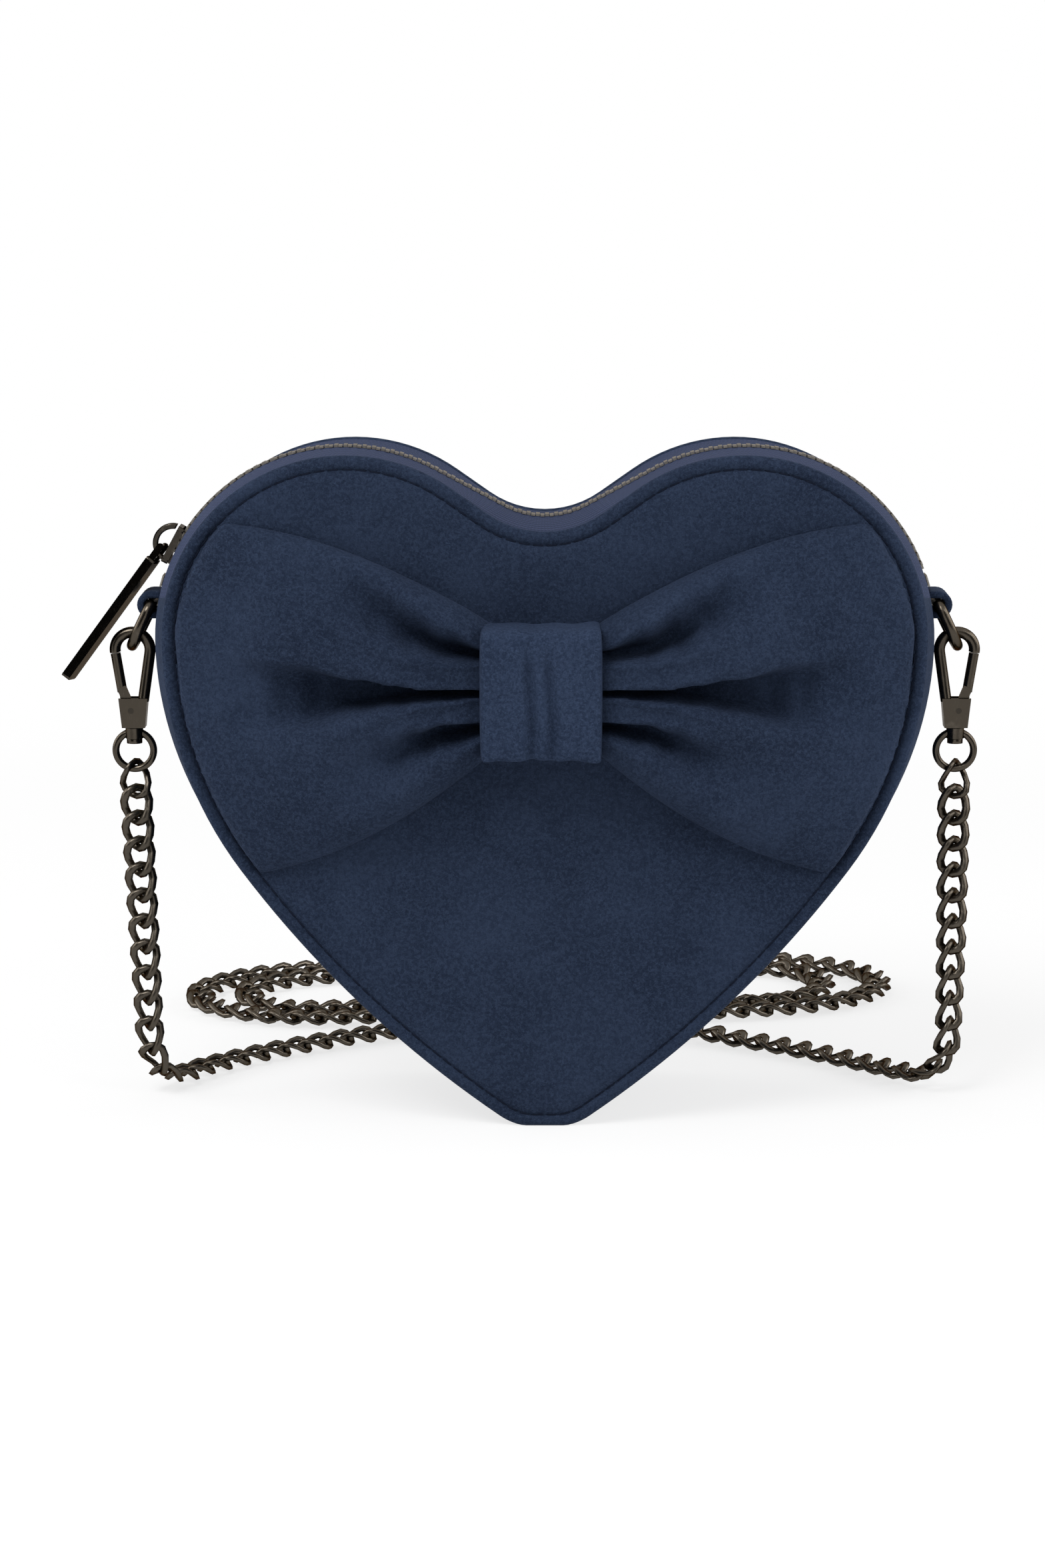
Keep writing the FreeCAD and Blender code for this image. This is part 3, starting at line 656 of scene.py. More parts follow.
PANEL_LINE = HeartLine(tip=0.016, lower=0.290, side=0.104, lobe=0.048, flank=0.011, dip=35.0)
MIDDLE_LINE = HeartLine(tip=0.019, lower=0.314, side=0.089, lobe=0.051, flank=0.0209, dip=28.0)
TAB_STEP = 2 + sum(MIDDLE_LINE.steps[:3]) + 3
WALL_HALF = 0.0255
PANEL_FACE = 0.028


class Walker:
    """A polyline measured along its length."""

    def __init__(self, points: Sequence[Vector], closed: bool = False) -> None:
        """Measures the points, and the way back to the first one if closed."""
        self.points = list(points) + ([points[0]] if closed else [])
        self.marks = [0.0]
        for first, second in zip(self.points, self.points[1:]):
            self.marks.append(self.marks[-1] + (second - first).length)

    @property
    def length(self) -> float:
        """Whole length."""
        return self.marks[-1]

    def at(self, distance: float) -> tuple[Vector, Vector]:
        """Place on the line.

        Args:
            distance: Length from the start.

        Returns:
            The point and the direction there.
        """
        high = min(max(bisect_right(self.marks, distance), 1), len(self.marks) - 1)
        low = high - 1
        span = self.marks[high] - self.marks[low]
        share = (distance - self.marks[low]) / span if span else 0.0
        along = (self.points[high] - self.points[low]).normalized()
        return self.points[low].lerp(self.points[high], share), along


def curve_value(table: Table, at: float) -> float:
    """Eased value of a table of places and values.

    Args:
        table: Places in rising order, with their values.
        at: The place that is wanted.

    Returns:
        The value there.
    """
    if at <= table[0][0]:
        return table[0][1]
    for (left, low), (right, high) in zip(table, table[1:]):
        if at <= right:
            share = (at - left) / (right - left)
            return low + (high - low) * share * share * (3 - 2 * share)
    return table[-1][1]


def clamped(share: float) -> float:
    """The share, kept from 0 to 1."""
    return max(0.0, min(1.0, share))


@dataclass
class ChainStrap:
    """Strap of twisted oval links that hangs from both clasps and lies coiled behind the purse."""

    half_length: float = 0.00475
    half_width: float = 0.00335
    rise: float = 0.0013
    end_rise: float = 0.0023
    wire: float = 0.00122
    wire_flat: float = 0.70
    end_wire: float = 0.00097
    end_turn: float = 16.0
    pitch: float = 0.0072
    round_count: int = 14
    wire_count: int = 5
    turn_count: int = 9
    left_foot: int = 3
    right_foot: int = -4
    lying: float = 0.0028
    smoothness: int = 14
    route: tuple[tuple[float, ...], ...] = (
        (-0.1108596, 0.0, 0.0894005), (-0.1100, 0.0000, 0.0608), (-0.1090, 0.0000, 0.0348),
        (-0.1080, 0.0000, 0.0046), (-0.0925, 0.0265), (-0.0730, 0.0440), (-0.0500, 0.0590),
        (-0.0280, 0.0695), (-0.0040, 0.0765), (0.0220, 0.0810), (0.0480, 0.0840),
        (0.0710, 0.0880), (0.0890, 0.0960), (0.1005, 0.1080), (0.1035, 0.1225),
        (0.0970, 0.1365), (0.0820, 0.1465), (0.0600, 0.1515), (0.0340, 0.1520),
        (0.0060, 0.1505), (-0.0220, 0.1475), (-0.0500, 0.1435), (-0.0754, 0.1376),
        (-0.0946, 0.1272), (-0.1050, 0.1120), (-0.1045, 0.0960), (-0.0930, 0.0835),
        (-0.0750, 0.0765), (-0.0510, 0.0780), (-0.0260, 0.0835), (0.0000, 0.0890),
        (0.0260, 0.0925), (0.0500, 0.0945), (0.0690, 0.0975), (0.0795, 0.1035),
        (0.0852, 0.1133), (0.0852, 0.1247), (0.0795, 0.1345), (0.0680, 0.1405),
        (0.0420, 0.1415), (0.0140, 0.1405), (-0.0140, 0.1380), (-0.0420, 0.1345),
        (-0.0620, 0.1309), (-0.0752, 0.1264), (-0.0850, 0.1198), (-0.0904, 0.1106),
        (-0.0900, 0.1005), (-0.0835, 0.0915), (-0.0720, 0.0875), (-0.0540, 0.0900),
        (-0.0360, 0.0915, 0.0040), (-0.0180, 0.0890, 0.0094), (0.0000, 0.0825, 0.0110),
        (0.0170, 0.0740, 0.0100), (0.0340, 0.0650, 0.0046), (0.0520, 0.0550), (0.0700, 0.0435),
        (0.0880, 0.0285), (0.1106, 0.0002, 0.0046), (0.1110, 0.0000, 0.0348),
        (0.1110, 0.0000, 0.0608), (0.1108596, 0.0, 0.0894005),
    )

    def corners(self) -> list[Vector]:
        """The route's points; those without a height lie on the floor."""
        return [Vector((*corner, self.lying)[:3]) for corner in self.route]

    def line(self) -> Walker:
        """The strap's smooth line, read from a NURBS curve on the route's points."""
        curve = bpy.data.curves.new("strap_line", "CURVE")
        curve.dimensions = "3D"
        curve.resolution_u = self.smoothness
        spline = curve.splines.new("NURBS")
        spline.points.add(len(self.route) - 1)
        for point, corner in zip(spline.points, self.corners()):
            point.co = (*corner, 1.0)
        spline.order_u = 3
        spline.use_endpoint_u = True
        holder = bpy.data.objects.new("strap_line", curve)
        bpy.context.scene.collection.objects.link(holder)
        bpy.context.view_layer.update()
        mesh = bpy.data.meshes.new_from_object(holder)
        points = [vertex.co.copy() for vertex in mesh.vertices]
        bpy.data.objects.remove(holder)
        bpy.data.meshes.remove(mesh)
        return Walker(points)

    def link(self, rise: float, wire: float) -> bpy.types.Object:
        """One twisted oval link along X.

        Args:
            rise: How far its sides lean out of its plane.
            wire: Half the width of its band.

        Returns:
            The link at the origin.
        """
        Bench.clear()
        bpy.ops.mesh.primitive_torus_add(
            major_segments=self.round_count,
            minor_segments=self.wire_count,
            major_radius=self.half_width,
            minor_radius=wire,
        )
        piece = bpy.context.object
        for vertex in piece.data.vertices:
            angle = math.atan2(vertex.co.y, vertex.co.x)
            outward = math.hypot(vertex.co.x, vertex.co.y) - self.half_width
            centre = Vector((
                self.half_length * math.cos(angle),
                self.half_width * math.sin(angle),
                rise * math.sin(2 * angle),
            ))
            twist = math.atan(2 * rise * math.cos(angle) / self.half_width)
            turn = Matrix.Rotation(twist, 3, "X")
            side = Vector((self.half_width * math.cos(angle), self.half_length * math.sin(angle), 0.0))
            upward = Vector((0.0, 0.0, vertex.co.z * self.wire_flat))
            vertex.co = centre + turn @ (side.normalized() * outward + upward)
        Bench.smooth(piece, angle=180.0)
        return piece

    def foot(self, line: Walker, corner: int) -> float:
        """Length along the line to the point next to a corner of the route.

        Args:
            line: The strap's line.
            corner: Number of the corner.

        Returns:
            The length from the line's start.
        """
        target = self.corners()[corner]
        near = min(range(len(line.points)), key=lambda index: (line.points[index] - target).length)
        return line.marks[near]

    def frames(self, line: Walker) -> list[tuple[float, Matrix]]:
        """Place of each link.

        Args:
            line: The strap's line.

        Returns:
            Each link's length along the line and its matrix, width turned to lie flat.
        """
        count = round(line.length / self.pitch)
        step = line.length / count
        spots = [line.at(min(index * step, line.length)) for index in range(count + 1)]
        placed: dict[int, Matrix] = {}
        wide = Vector((1.0, 0.0, 0.0))
        corners = self.corners()
        left = corners[self.left_foot + 1] - corners[self.left_foot]
        right = corners[self.right_foot - 1] - corners[self.right_foot]
        for order, run in ((range(count // 2), left), (range(count, count // 2 - 1, -1), right)):
            level = Vector((run.y, -run.x, 0.0)).normalized()
            across = wide
            for turned, index in enumerate(order):
                point, along = spots[index]
                if turned <= self.turn_count:
                    across = wide.lerp(level, turned / self.turn_count)
                across = (across - along * across.dot(along)).normalized()
                turn = Matrix((along, across, along.cross(across))).transposed()
                placed[index] = Matrix.Translation(point) @ turn.to_4x4()
        return [(index * step, placed[index]) for index in range(count + 1)]

    def build(self) -> None:
        """Makes the two drops and the lying part."""
        line = self.line()
        plain, end = self.link(self.rise, self.wire), self.link(self.end_rise, self.end_wire)
        frames = self.frames(line)
        left, right = self.foot(line, self.left_foot), self.foot(line, self.right_foot)
        spans = {
            "strap_left_drop": (-1.0, left),
            "strap_coil": (left, right),
            "strap_right_drop": (right, line.length + 1.0),
        }
        nodes = {
            "strap_left_drop": ("chain_left_drop",),
            "strap_coil": ("chain_left_run", "chain_coil", "chain_right_run"),
            "strap_right_drop": ("chain_right_drop",),
        }
        for name, (low, high) in spans.items():
            places = [matrix for mark, matrix in frames if low < mark <= high]
            piece = Bench.joined(name, plain, places)
            if low < 0 or high > line.length:
                self.swap_end(piece, plain, end, places[0 if low < 0 else -1], low < 0)
            CHAIN_METAL.dress(piece)
            path = [point for point, mark in zip(line.points, line.marks) if low <= mark <= high]
            if name == "strap_right_drop":
                path.reverse()
            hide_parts(*nodes[name])
            if name == "strap_coil":
                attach(piece, BAG)
            else:
                tuple(path[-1])
                tuple(path[0])
                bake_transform(piece)
            tuple(path[0])
            Walker(path).length
            "coiled" if name == "strap_coil" else "hanging"
            [tuple(point) for point in path]
            LOG.info("%s: %d links", name, len(places))
        bpy.data.objects.remove(plain)
        bpy.data.objects.remove(end)

    def swap_end(
        self,
        piece: bpy.types.Object,
        plain: bpy.types.Object,
        end: bpy.types.Object,
        place: Matrix,
        first: bool,
    ) -> None:
        """Gives the link in a clasp's eye its steeper twist and turns it, so that the eye can swivel.

        Args:
            piece: The joined drop.
            plain: The plain link.
            end: The steeper link.
            place: Matrix of the link to change.
            first: True if it is the drop's first link.
        """
        count = len(plain.data.vertices)
        start = 0 if first else len(piece.data.vertices) - count
        turned = Matrix.Rotation(math.radians(self.end_turn), 4, "Z") @ place.to_3x3().to_4x4()
        turned.translation = place.translation
        for index in range(count):
            piece.data.vertices[start + index].co = turned @ end.data.vertices[index].co


@dataclass
class HeartPanel:
    """Padded heart panel with a welted edge and a sewn valley inside it."""

    face: Face
    welt: Table = (
        (0.0002, 0.0252),
        (-0.0003, 0.0257),
        (-0.0005, 0.0264),
        (-0.0002, 0.0273),
        (0.0006, 0.0279),
        (0.0014, 0.0280),
        (0.0022, 0.0279),
        (0.0027, 0.0275),
        (0.0031, 0.0271),
        (0.0035, 0.0275),
        (0.0042, 0.0280),
        (0.0060, 0.0282),
        (0.0090, 0.0283),
        (0.0130, 0.0283),
    )
    inner_rings: int = 10
    ripple: float = 0.0002
    ripple_scale: float = 55.0
    middle: Vector = Vector((0.0, 0.0, 0.095))
    thickness: float = 0.0012
    fill: float = 0.5

    def ring_point(self, rings: Sequence[Sequence[Vector]], ring: int, index: int) -> Vector:
        """Point of one ring of the panel.

        Args:
            rings: The insets of the outline.
            ring: Number of the ring from the edge.
            index: Number of the point on it.

        Returns:
            The point.
        """
        last = len(self.welt) - 1
        flat = rings[min(ring, last)][index % len(rings[0])]
        depth = self.welt[min(ring, last)][1]
        if ring > last:
            flat = self.middle.lerp(flat, 1.0 - (ring - last) / self.inner_rings)
        if ring >= last - 2:
            depth += self.ripple * noise.noise(flat * self.ripple_scale)
        return Vector((flat.x, self.face.value * depth, flat.z))

    def build(self) -> None:
        """Lays the rings, gives the skin its thickness and dresses it."""
        rings = [PANEL_LINE.loop(inset) for inset, _ in self.welt]
        columns = len(rings[0])
        rows = len(self.welt) + self.inner_rings - 1

        def place(along: float, across: float) -> Vector:
            """Ring and point for the grid's shares."""
            return self.ring_point(rings, round(across * rows), round(along * columns))

        piece = Bench.cloth(f"{self.face.word}_pad", columns, rows, place, self.middle)
        Bench.modify(piece, "SOLIDIFY", thickness=self.thickness, offset=-1.0)
        Bench.smooth(piece, angle=75.0)
        SUEDE.settle(piece, f"{self.face.word}_panel", self.fill)


@dataclass
class Topstitch:
    """Thread stitches in the valley of both panels."""

    inset: float = 0.0031
    pitch: float = 0.0036
    length: float = 0.0027
    radius: float = 0.00036
    sink: float = 0.0272

    def model(self) -> bpy.types.Object:
        """One stitch along X, with its ends drawn in."""
        Bench.clear()
        bpy.ops.mesh.primitive_cylinder_add(vertices=5, radius=self.radius, depth=self.length)
        piece = bpy.context.object
        quarter = {"value": math.pi / 2, "orient_axis": "Y", "center_override": (0.0, 0.0, 0.0)}
        Bench.edit(
            piece,
            lambda: bpy.ops.mesh.bevel(offset=self.radius * 0.5, segments=1),
            lambda: bpy.ops.transform.rotate(**quarter),
        )
        Bench.smooth(piece, angle=180.0)
        return piece

    def build(self) -> None:
        """Sews both panels."""
        model = self.model()
        loop = Walker(PANEL_LINE.loop(self.inset), closed=True)
        count = round(loop.length / self.pitch)
        for face in Face:
            places = []
            for index in range(count):
                point, along = loop.at((index + 0.5) * loop.length / count)
                across = Vector((0.0, 1.0, 0.0))
                turn = Matrix((along, across, along.cross(across))).transposed().to_4x4()
                spot = Vector((point.x, face.value * self.sink, point.z))
                places.append(Matrix.Translation(spot) @ turn)
            piece = Bench.joined(f"{face.word}_topstitch", model, places)
            THREAD.dress(piece)
            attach(piece, BAG)
            LOG.info("%s: %d stitches", piece.name, count)
        bpy.data.objects.remove(model)


@dataclass
class SideWall:
    """Suede gusset below the tabs and woven zip tapes above them, on one swelled surface."""

    wall_rows: int = 24
    tape_rows: int = 10
    tape_edge: float = 0.0012
    suede_thickness: float = 0.0015
    tape_thickness: float = 0.0010
    middle: Vector = Vector((0.0, 0.0, 0.1))

    def surface(self, pairs: Sequence[tuple[Vector, Vector]], index: int, depth: float) -> Vector:
        """Point of the swelled wall.

        Args:
            pairs: Points of the panel's and the middle outline.
            index: Number of the pair.
            depth: Place across the wall.

        Returns:
            The point.
        """
        panel, middle = pairs[index]
        flat = middle.lerp(panel, (depth / WALL_HALF) ** 2)
        return Vector((flat.x, depth, flat.z))

    def strip(
        self,
        name: str,
        pairs: Sequence[tuple[Vector, Vector]],
        depths: tuple[float, float],
        rows: int,
        thickness: float,
    ) -> bpy.types.Object:
        """One strip of the wall between two depths.

        Args:
            name: Name of the piece.
            pairs: Points of the panel's and the middle outline.
            depths: First and last depth.
            rows: Faces across.
            thickness: How thick it is, inwards.

        Returns:
            The strip.
        """
        low, high = depths
        columns = len(pairs) - 1

        def place(along: float, across: float) -> Vector:
            """Wall point for the grid's shares."""
            return self.surface(pairs, round(along * columns), low + (high - low) * across)

        piece = Bench.cloth(name, columns, rows, place, self.middle)
        Bench.modify(piece, "SOLIDIFY", thickness=thickness, offset=-1.0)
        Bench.smooth(piece, angle=60.0)
        return piece

    def build(self) -> None:
        """Makes the gusset and both tapes."""
        halves = list(zip(PANEL_LINE.half(), MIDDLE_LINE.half()))
        others = [(mirrored(panel), mirrored(middle)) for panel, middle in halves]
        below = list(reversed(halves[: TAB_STEP + 1])) + others[1 : TAB_STEP + 1]
        above = halves[TAB_STEP:] + list(reversed(others[TAB_STEP:-1]))
        span = (-WALL_HALF, WALL_HALF)
        wall = self.strip("suede_gusset", below, span, self.wall_rows, self.suede_thickness)
        SUEDE.settle(wall, "lower_gusset")
        for face, node in ((Face.FRONT, "zip_tape_front"), (Face.BACK, "zip_tape_rear")):
            span = (face.value * self.tape_edge, face.value * WALL_HALF)
            tape = self.strip(f"{face.word}_zip_tape", above, span, self.tape_rows, self.tape_thickness)
            TAPE.settle(tape, node)


@dataclass(frozen=True)
class Fold:
    """A valley of the bow: its line in the panel's plane, its widths below and above, and its depth."""

    line: Table
    below: Table
    above: Table
    depth: Table
    steep: float = 2.0
    ridge: float = 0.08
    ridge_place: float = 1.9
    ridge_width: float = 0.7

    def share(self, x: float, z: float) -> float:
        """How much of the puff is pressed in.

        Args:
            x: Distance from the purse's middle.
            z: Height.

        Returns:
            The share, below 0 on the ridges beside the valley.
        """
        off = z - curve_value(self.line, x)
        width = curve_value(self.above if off > 0 else self.below, x)
        across = abs(off) / width
        valley = math.exp(-(across**self.steep))
        ridge = math.exp(-(((across - self.ridge_place) / self.ridge_width) ** 2))
        return curve_value(self.depth, x) * (valley - self.ridge * ridge)


UPPER_FOLD = Fold(
    line=(
        (0.015, 0.1283), (0.026, 0.1296), (0.034, 0.1328),
        (0.042, 0.1375), (0.050, 0.1428), (0.060, 0.1490),
    ),
    below=((0.015, 0.0008), (0.026, 0.0014), (0.040, 0.0030), (0.060, 0.0060)),
    above=((0.015, 0.0016), (0.026, 0.0042), (0.040, 0.0075), (0.060, 0.0100)),
    depth=((0.015, 0.86), (0.030, 0.78), (0.042, 0.56), (0.055, 0.26), (0.070, 0.0)),
)
MIDDLE_WIDTH = (
    (0.015, 0.0007), (0.031, 0.0013), (0.039, 0.0024),
    (0.048, 0.0040), (0.066, 0.0078), (0.085, 0.0100),
)
MIDDLE_FOLD = Fold(
    line=((0.015, 0.1192), (0.040, 0.1187), (0.060, 0.1180), (0.085, 0.1175)),
    below=MIDDLE_WIDTH,
    above=MIDDLE_WIDTH,
    depth=((0.015, 0.97), (0.050, 0.95), (0.058, 0.86), (0.066, 0.60), (0.074, 0.30), (0.085, 0.0)),
    steep=7.0,
)
LOWER_FOLD = Fold(
    line=((0.015, 0.1104), (0.026, 0.1094), (0.033, 0.1070), (0.041, 0.1030), (0.052, 0.0975)),
    below=((0.015, 0.0016), (0.026, 0.0036), (0.040, 0.0070), (0.055, 0.0095)),
    above=((0.015, 0.0008), (0.026, 0.0014), (0.040, 0.0030), (0.055, 0.0060)),
    depth=((0.015, 0.86), (0.028, 0.76), (0.037, 0.48), (0.047, 0.22), (0.060, 0.0)),
)


@dataclass
class BowWing:
    """One padded wing of the bow, gathered into folds at the knot and sewn into the panel's seam."""

    side: Side
    inner: float = 0.012
    inner_low: float = 0.1035
    inner_high: float = 0.1345
    corner_low: float = 0.0680
    corner_high: float = 0.1632
    seam_inset: float = 0.0033
    edge_bow: float = 0.0050
    columns: int = 64
    rows: int = 64
    voxel: float = 0.00125
    edge_power: float = 9.0
    crown: Table = (
        (0.0, 0.0115),
        (0.15, 0.0135),
        (0.30, 0.0142),
        (0.50, 0.0122),
        (0.70, 0.0090),
        (0.85, 0.0064),
        (0.93, 0.0048),
        (0.975, 0.0037),
        (1.0, 0.0018),
    )
    folds: tuple[Fold, ...] = (UPPER_FOLD, MIDDLE_FOLD, LOWER_FOLD)
    seam_steps: int = 400
    seam_start: int = 2
    seam_past_tab: int = 24
    seam_reach: float = 0.05
    back_depth: float = 0.0022
    core: Vector = Vector((0.05, -0.030, 0.118))
    give_most: float = 0.0022
    give_end: float = 0.092
    give_fade: float = 0.03
    flat_below: float = 0.0004
    crumples: Table = ((0.0004, 70.0), (0.0002, 190.0))
    crumple_full: float = 0.004
    fill: float = 0.6

    def seam(self) -> Walker:
        """The stretch of the panel's seam that the wing is sewn into, from below."""
        walk = Walker(PANEL_LINE.half(self.seam_inset)[self.seam_start : TAB_STEP + self.seam_past_tab])
        steps = [walk.at(walk.length * step / self.seam_steps)[0] for step in range(self.seam_steps + 1)]
        outer = [point for point in steps if point.x > self.seam_reach]
        return Walker([point for point in outer if self.corner_low <= point.z <= self.corner_high])

    def outline(self, seam: Walker, out: float, up: float) -> Vector:
        """Point of the wing's plan.

        Args:
            seam: The outer seam.
            out: Share from the knot to the seam.
            up: Share from the lower edge to the upper one.

        Returns:
            The point in the panel's plane.
        """
        height = self.inner_low + (self.inner_high - self.inner_low) * up
        start = Vector((self.inner, 0.0, height))
        end = seam.at(seam.length * up)[0]
        point = start.lerp(end, out)
        point.z += (2 * up - 1) * self.edge_bow * 4 * out * (1 - out)
        return point

    def build(self) -> None:
        """Puffs the wing, presses its folds in and dresses it."""
        seam = self.seam()

        def place(along: float, across: float) -> Vector:
            """Wing point: the grid runs over the front, along the flat back and home again."""
            around = along * 2.0
            up = around if around <= 1.0 else 2.0 - around
            point = self.outline(seam, across, up)
            puff = curve_value(self.crown, across)
            level = 1.0 - abs(2.0 * up - 1.0) ** self.edge_power
            behind = 1.0 < around < 1.999
            rise = -self.back_depth if behind else puff * math.sqrt(max(level, 0.0))
            return Vector((self.side.value * point.x, -PANEL_FACE - rise, point.z))

        core = self.core if self.side is Side.RIGHT else mirrored(self.core)
        piece = Bench.cloth(f"bow_{self.side.word}_wing", self.rows * 2, self.columns, place, core)
        Bench.edit(
            piece,
            lambda: bpy.ops.mesh.fill_holes(sides=0),
            lambda: bpy.ops.mesh.normals_make_consistent(inside=False),
        )
        Bench.swell(piece, self.voxel, self.give)
        Bench.modify(piece, "SUBSURF", levels=1, render_levels=1)
        for vertex in piece.data.vertices:
            self.press(vertex)
        Bench.modify(piece, "SMOOTH", factor=0.35, iterations=1)
        Bench.smooth(piece, angle=180.0)
        SUEDE.settle(piece, f"bow_wing_{self.side.word}", self.fill)

    def give(self, point: Vector) -> float:
        """How far the filling may push a point of the wing."""
        return self.give_most * clamped((self.give_end - abs(point.x)) / self.give_fade)

    def press(self, vertex: bpy.types.MeshVertex) -> None:
        """Presses one point into the folds, crumples it a little and keeps it on the panel.

        Args:
            vertex: Point to move.
        """
        x, z = abs(vertex.co.x), vertex.co.z
        height = -PANEL_FACE - vertex.co.y
        if height > self.flat_below:
            pressed = 1.0
            for fold in self.folds:
                pressed *= 1.0 - fold.share(x, z)
            crumple = sum(size * noise.noise(vertex.co * scale) for size, scale in self.crumples)
            height = height * pressed + crumple * min(1.0, height / self.crumple_full)
        vertex.co.y = -PANEL_FACE - max(height, 0.0)


@dataclass
class BowKnot:
    """Padded band across the bow's middle, with two soft creases."""

    low: Vector = Vector((-0.0166, -0.0462, 0.1022))
    high: Vector = Vector((0.0146, -0.0280, 0.1361))
    voxel: float = 0.0013
    edge_round: float = 0.0017
    flare: float = 0.0007
    wave: float = 0.0002
    wave_rate: float = 620.0
    padding: float = 0.0012
    full_height: float = 0.012
    dish: float = 0.0006
    creases: tuple[tuple[float, float, float], ...] = (
        (-0.0036, 0.0012, 0.0023),
        (0.0016, 0.0012, 0.0021),
    )
    crease_top: float = 0.1335
    crease_fade: float = 0.008
    sway: float = 0.0005
    sway_rate: float = 160.0
    sway_from: float = 0.1
    near: float = 0.0001
    fill: float = 0.7

    def build(self) -> None:
        """Rounds a block, puffs it, shapes it and dresses it."""
        Bench.clear()
        size = self.high - self.low
        middle = (self.high + self.low) / 2
        bpy.ops.mesh.primitive_cube_add(size=1.0, location=middle, scale=size)
        piece = bpy.context.object
        piece.name = piece.data.name = "bow_middle_knot"
        bpy.ops.object.transform_apply(location=True, rotation=False, scale=True)
        self.soften(piece, 2)
        self.soften(piece, 0)
        Bench.swell(piece, self.voxel, lambda point: self.padding)
        Bench.modify(piece, "SUBSURF", levels=1, render_levels=1)
        for vertex in piece.data.vertices:
            self.shape(vertex, middle, size)
        Bench.modify(piece, "SMOOTH", factor=0.4, iterations=2)
        Bench.smooth(piece, angle=180.0)
        # The knot takes the lighter suede copy, painted light that brightens its front.
        KNOT_SUEDE_PAINTED_LIGHT.settle(piece, "bow_knot", self.fill)

    def shape(self, vertex: bpy.types.MeshVertex, middle: Vector, size: Vector) -> None:
        """Flares the corners, waves the ends and presses the creases in.

        Args:
            vertex: Point to move.
            middle: Middle of the knot.
            size: Its sides.
        """
        x, z = vertex.co.x, vertex.co.z
        aside = 2 * (x - middle.x) / size.x
        up = 2 * (z - middle.z) / size.z
        height = clamped((-PANEL_FACE - vertex.co.y) / self.full_height)
        vertex.co.z += up**3 * (self.flare * abs(aside) ** 3 + self.wave * math.sin(x * self.wave_rate))
        vertex.co.y += self.dish * (1 - aside**4) * up**2 * height
        fade = clamped((self.crease_top - z) / self.crease_fade)
        for place, width, depth in self.creases:
            bend = place + self.sway * math.sin((z - self.sway_from) * self.sway_rate)
            vertex.co.y += depth * fade * height * math.exp(-(((x - bend) / width) ** 2))
        vertex.co.y = min(vertex.co.y, -PANEL_FACE)

    def soften(self, piece: bpy.types.Object, axis: int) -> None:
        """Bevels the front edges that face along one axis.

        Args:
            piece: The block.
            axis: 0 for the two sides, 2 for the top and the foot.
        """
        Bench.edit(piece, lambda: bpy.ops.mesh.select_all(action="DESELECT"))
        front = min(vertex.co.y for vertex in piece.data.vertices)
        spread = [vertex.co[axis] for vertex in piece.data.vertices]
        limits = (max(spread), min(spread))
        for edge in piece.data.edges:
            ends = [piece.data.vertices[index].co for index in edge.vertices]
            on_front = all(abs(end.y - front) < self.near for end in ends)
            on_limit = any(all(abs(end[axis] - at) < self.near for end in ends) for at in limits)
            edge.select = on_front and on_limit
        Bench.pick(piece)
        bpy.ops.object.mode_set(mode="EDIT")
        bpy.ops.mesh.select_mode(type="EDGE")
        bpy.ops.mesh.bevel(offset=self.edge_round, segments=4, affect="EDGES")
        bpy.ops.mesh.select_mode(type="VERT")
        bpy.ops.object.mode_set(mode="OBJECT")


@dataclass
class RingTab:
    """Suede strip folded round a D-ring's bar and sewn to the side wall."""

    side: Side
    bar: Vector = Vector((0.1052053, 0.0, 0.1374930))
    bend: float = 0.0027
    width: float = 0.011
    thickness: float = 0.0019
    root: float = 0.0027
    bend_steps: int = 12
    rows: int = 6
    edge_round: float = 0.0006
    edge_angle: float = 50.0

    def build(self) -> None:
        """Bends the strip, thickens it and rounds its edges."""
        path = [Vector((-self.root, 0.0, self.bend))]
        for step in range(self.bend_steps + 1):
            angle = math.pi / 2 - math.pi * step / self.bend_steps
            path.append(Vector((self.bend * math.cos(angle), 0.0, self.bend * math.sin(angle))))
        path.append(Vector((-self.root, 0.0, -self.bend)))
        columns = len(path) - 1

        def place(along: float, across: float) -> Vector:
            """Strip point for the grid's shares."""
            point = self.bar + path[round(along * columns)]
            return Vector((self.side.value * point.x, (across - 0.5) * self.width, point.z))

        away = Vector((self.side.value * self.bar.x, 0.0, self.bar.z))
        piece = Bench.cloth(f"{self.side.word}_ring_tab", columns, self.rows, place, away)
        Bench.modify(piece, "SOLIDIFY", thickness=self.thickness, offset=0.0)
        limit = {"limit_method": "ANGLE", "angle_limit": math.radians(self.edge_angle)}
        Bench.modify(piece, "BEVEL", width=self.edge_round, segments=3, **limit)
        Bench.smooth(piece, angle=60.0)
        SUEDE.settle(piece, f"tab_{self.side.word}")


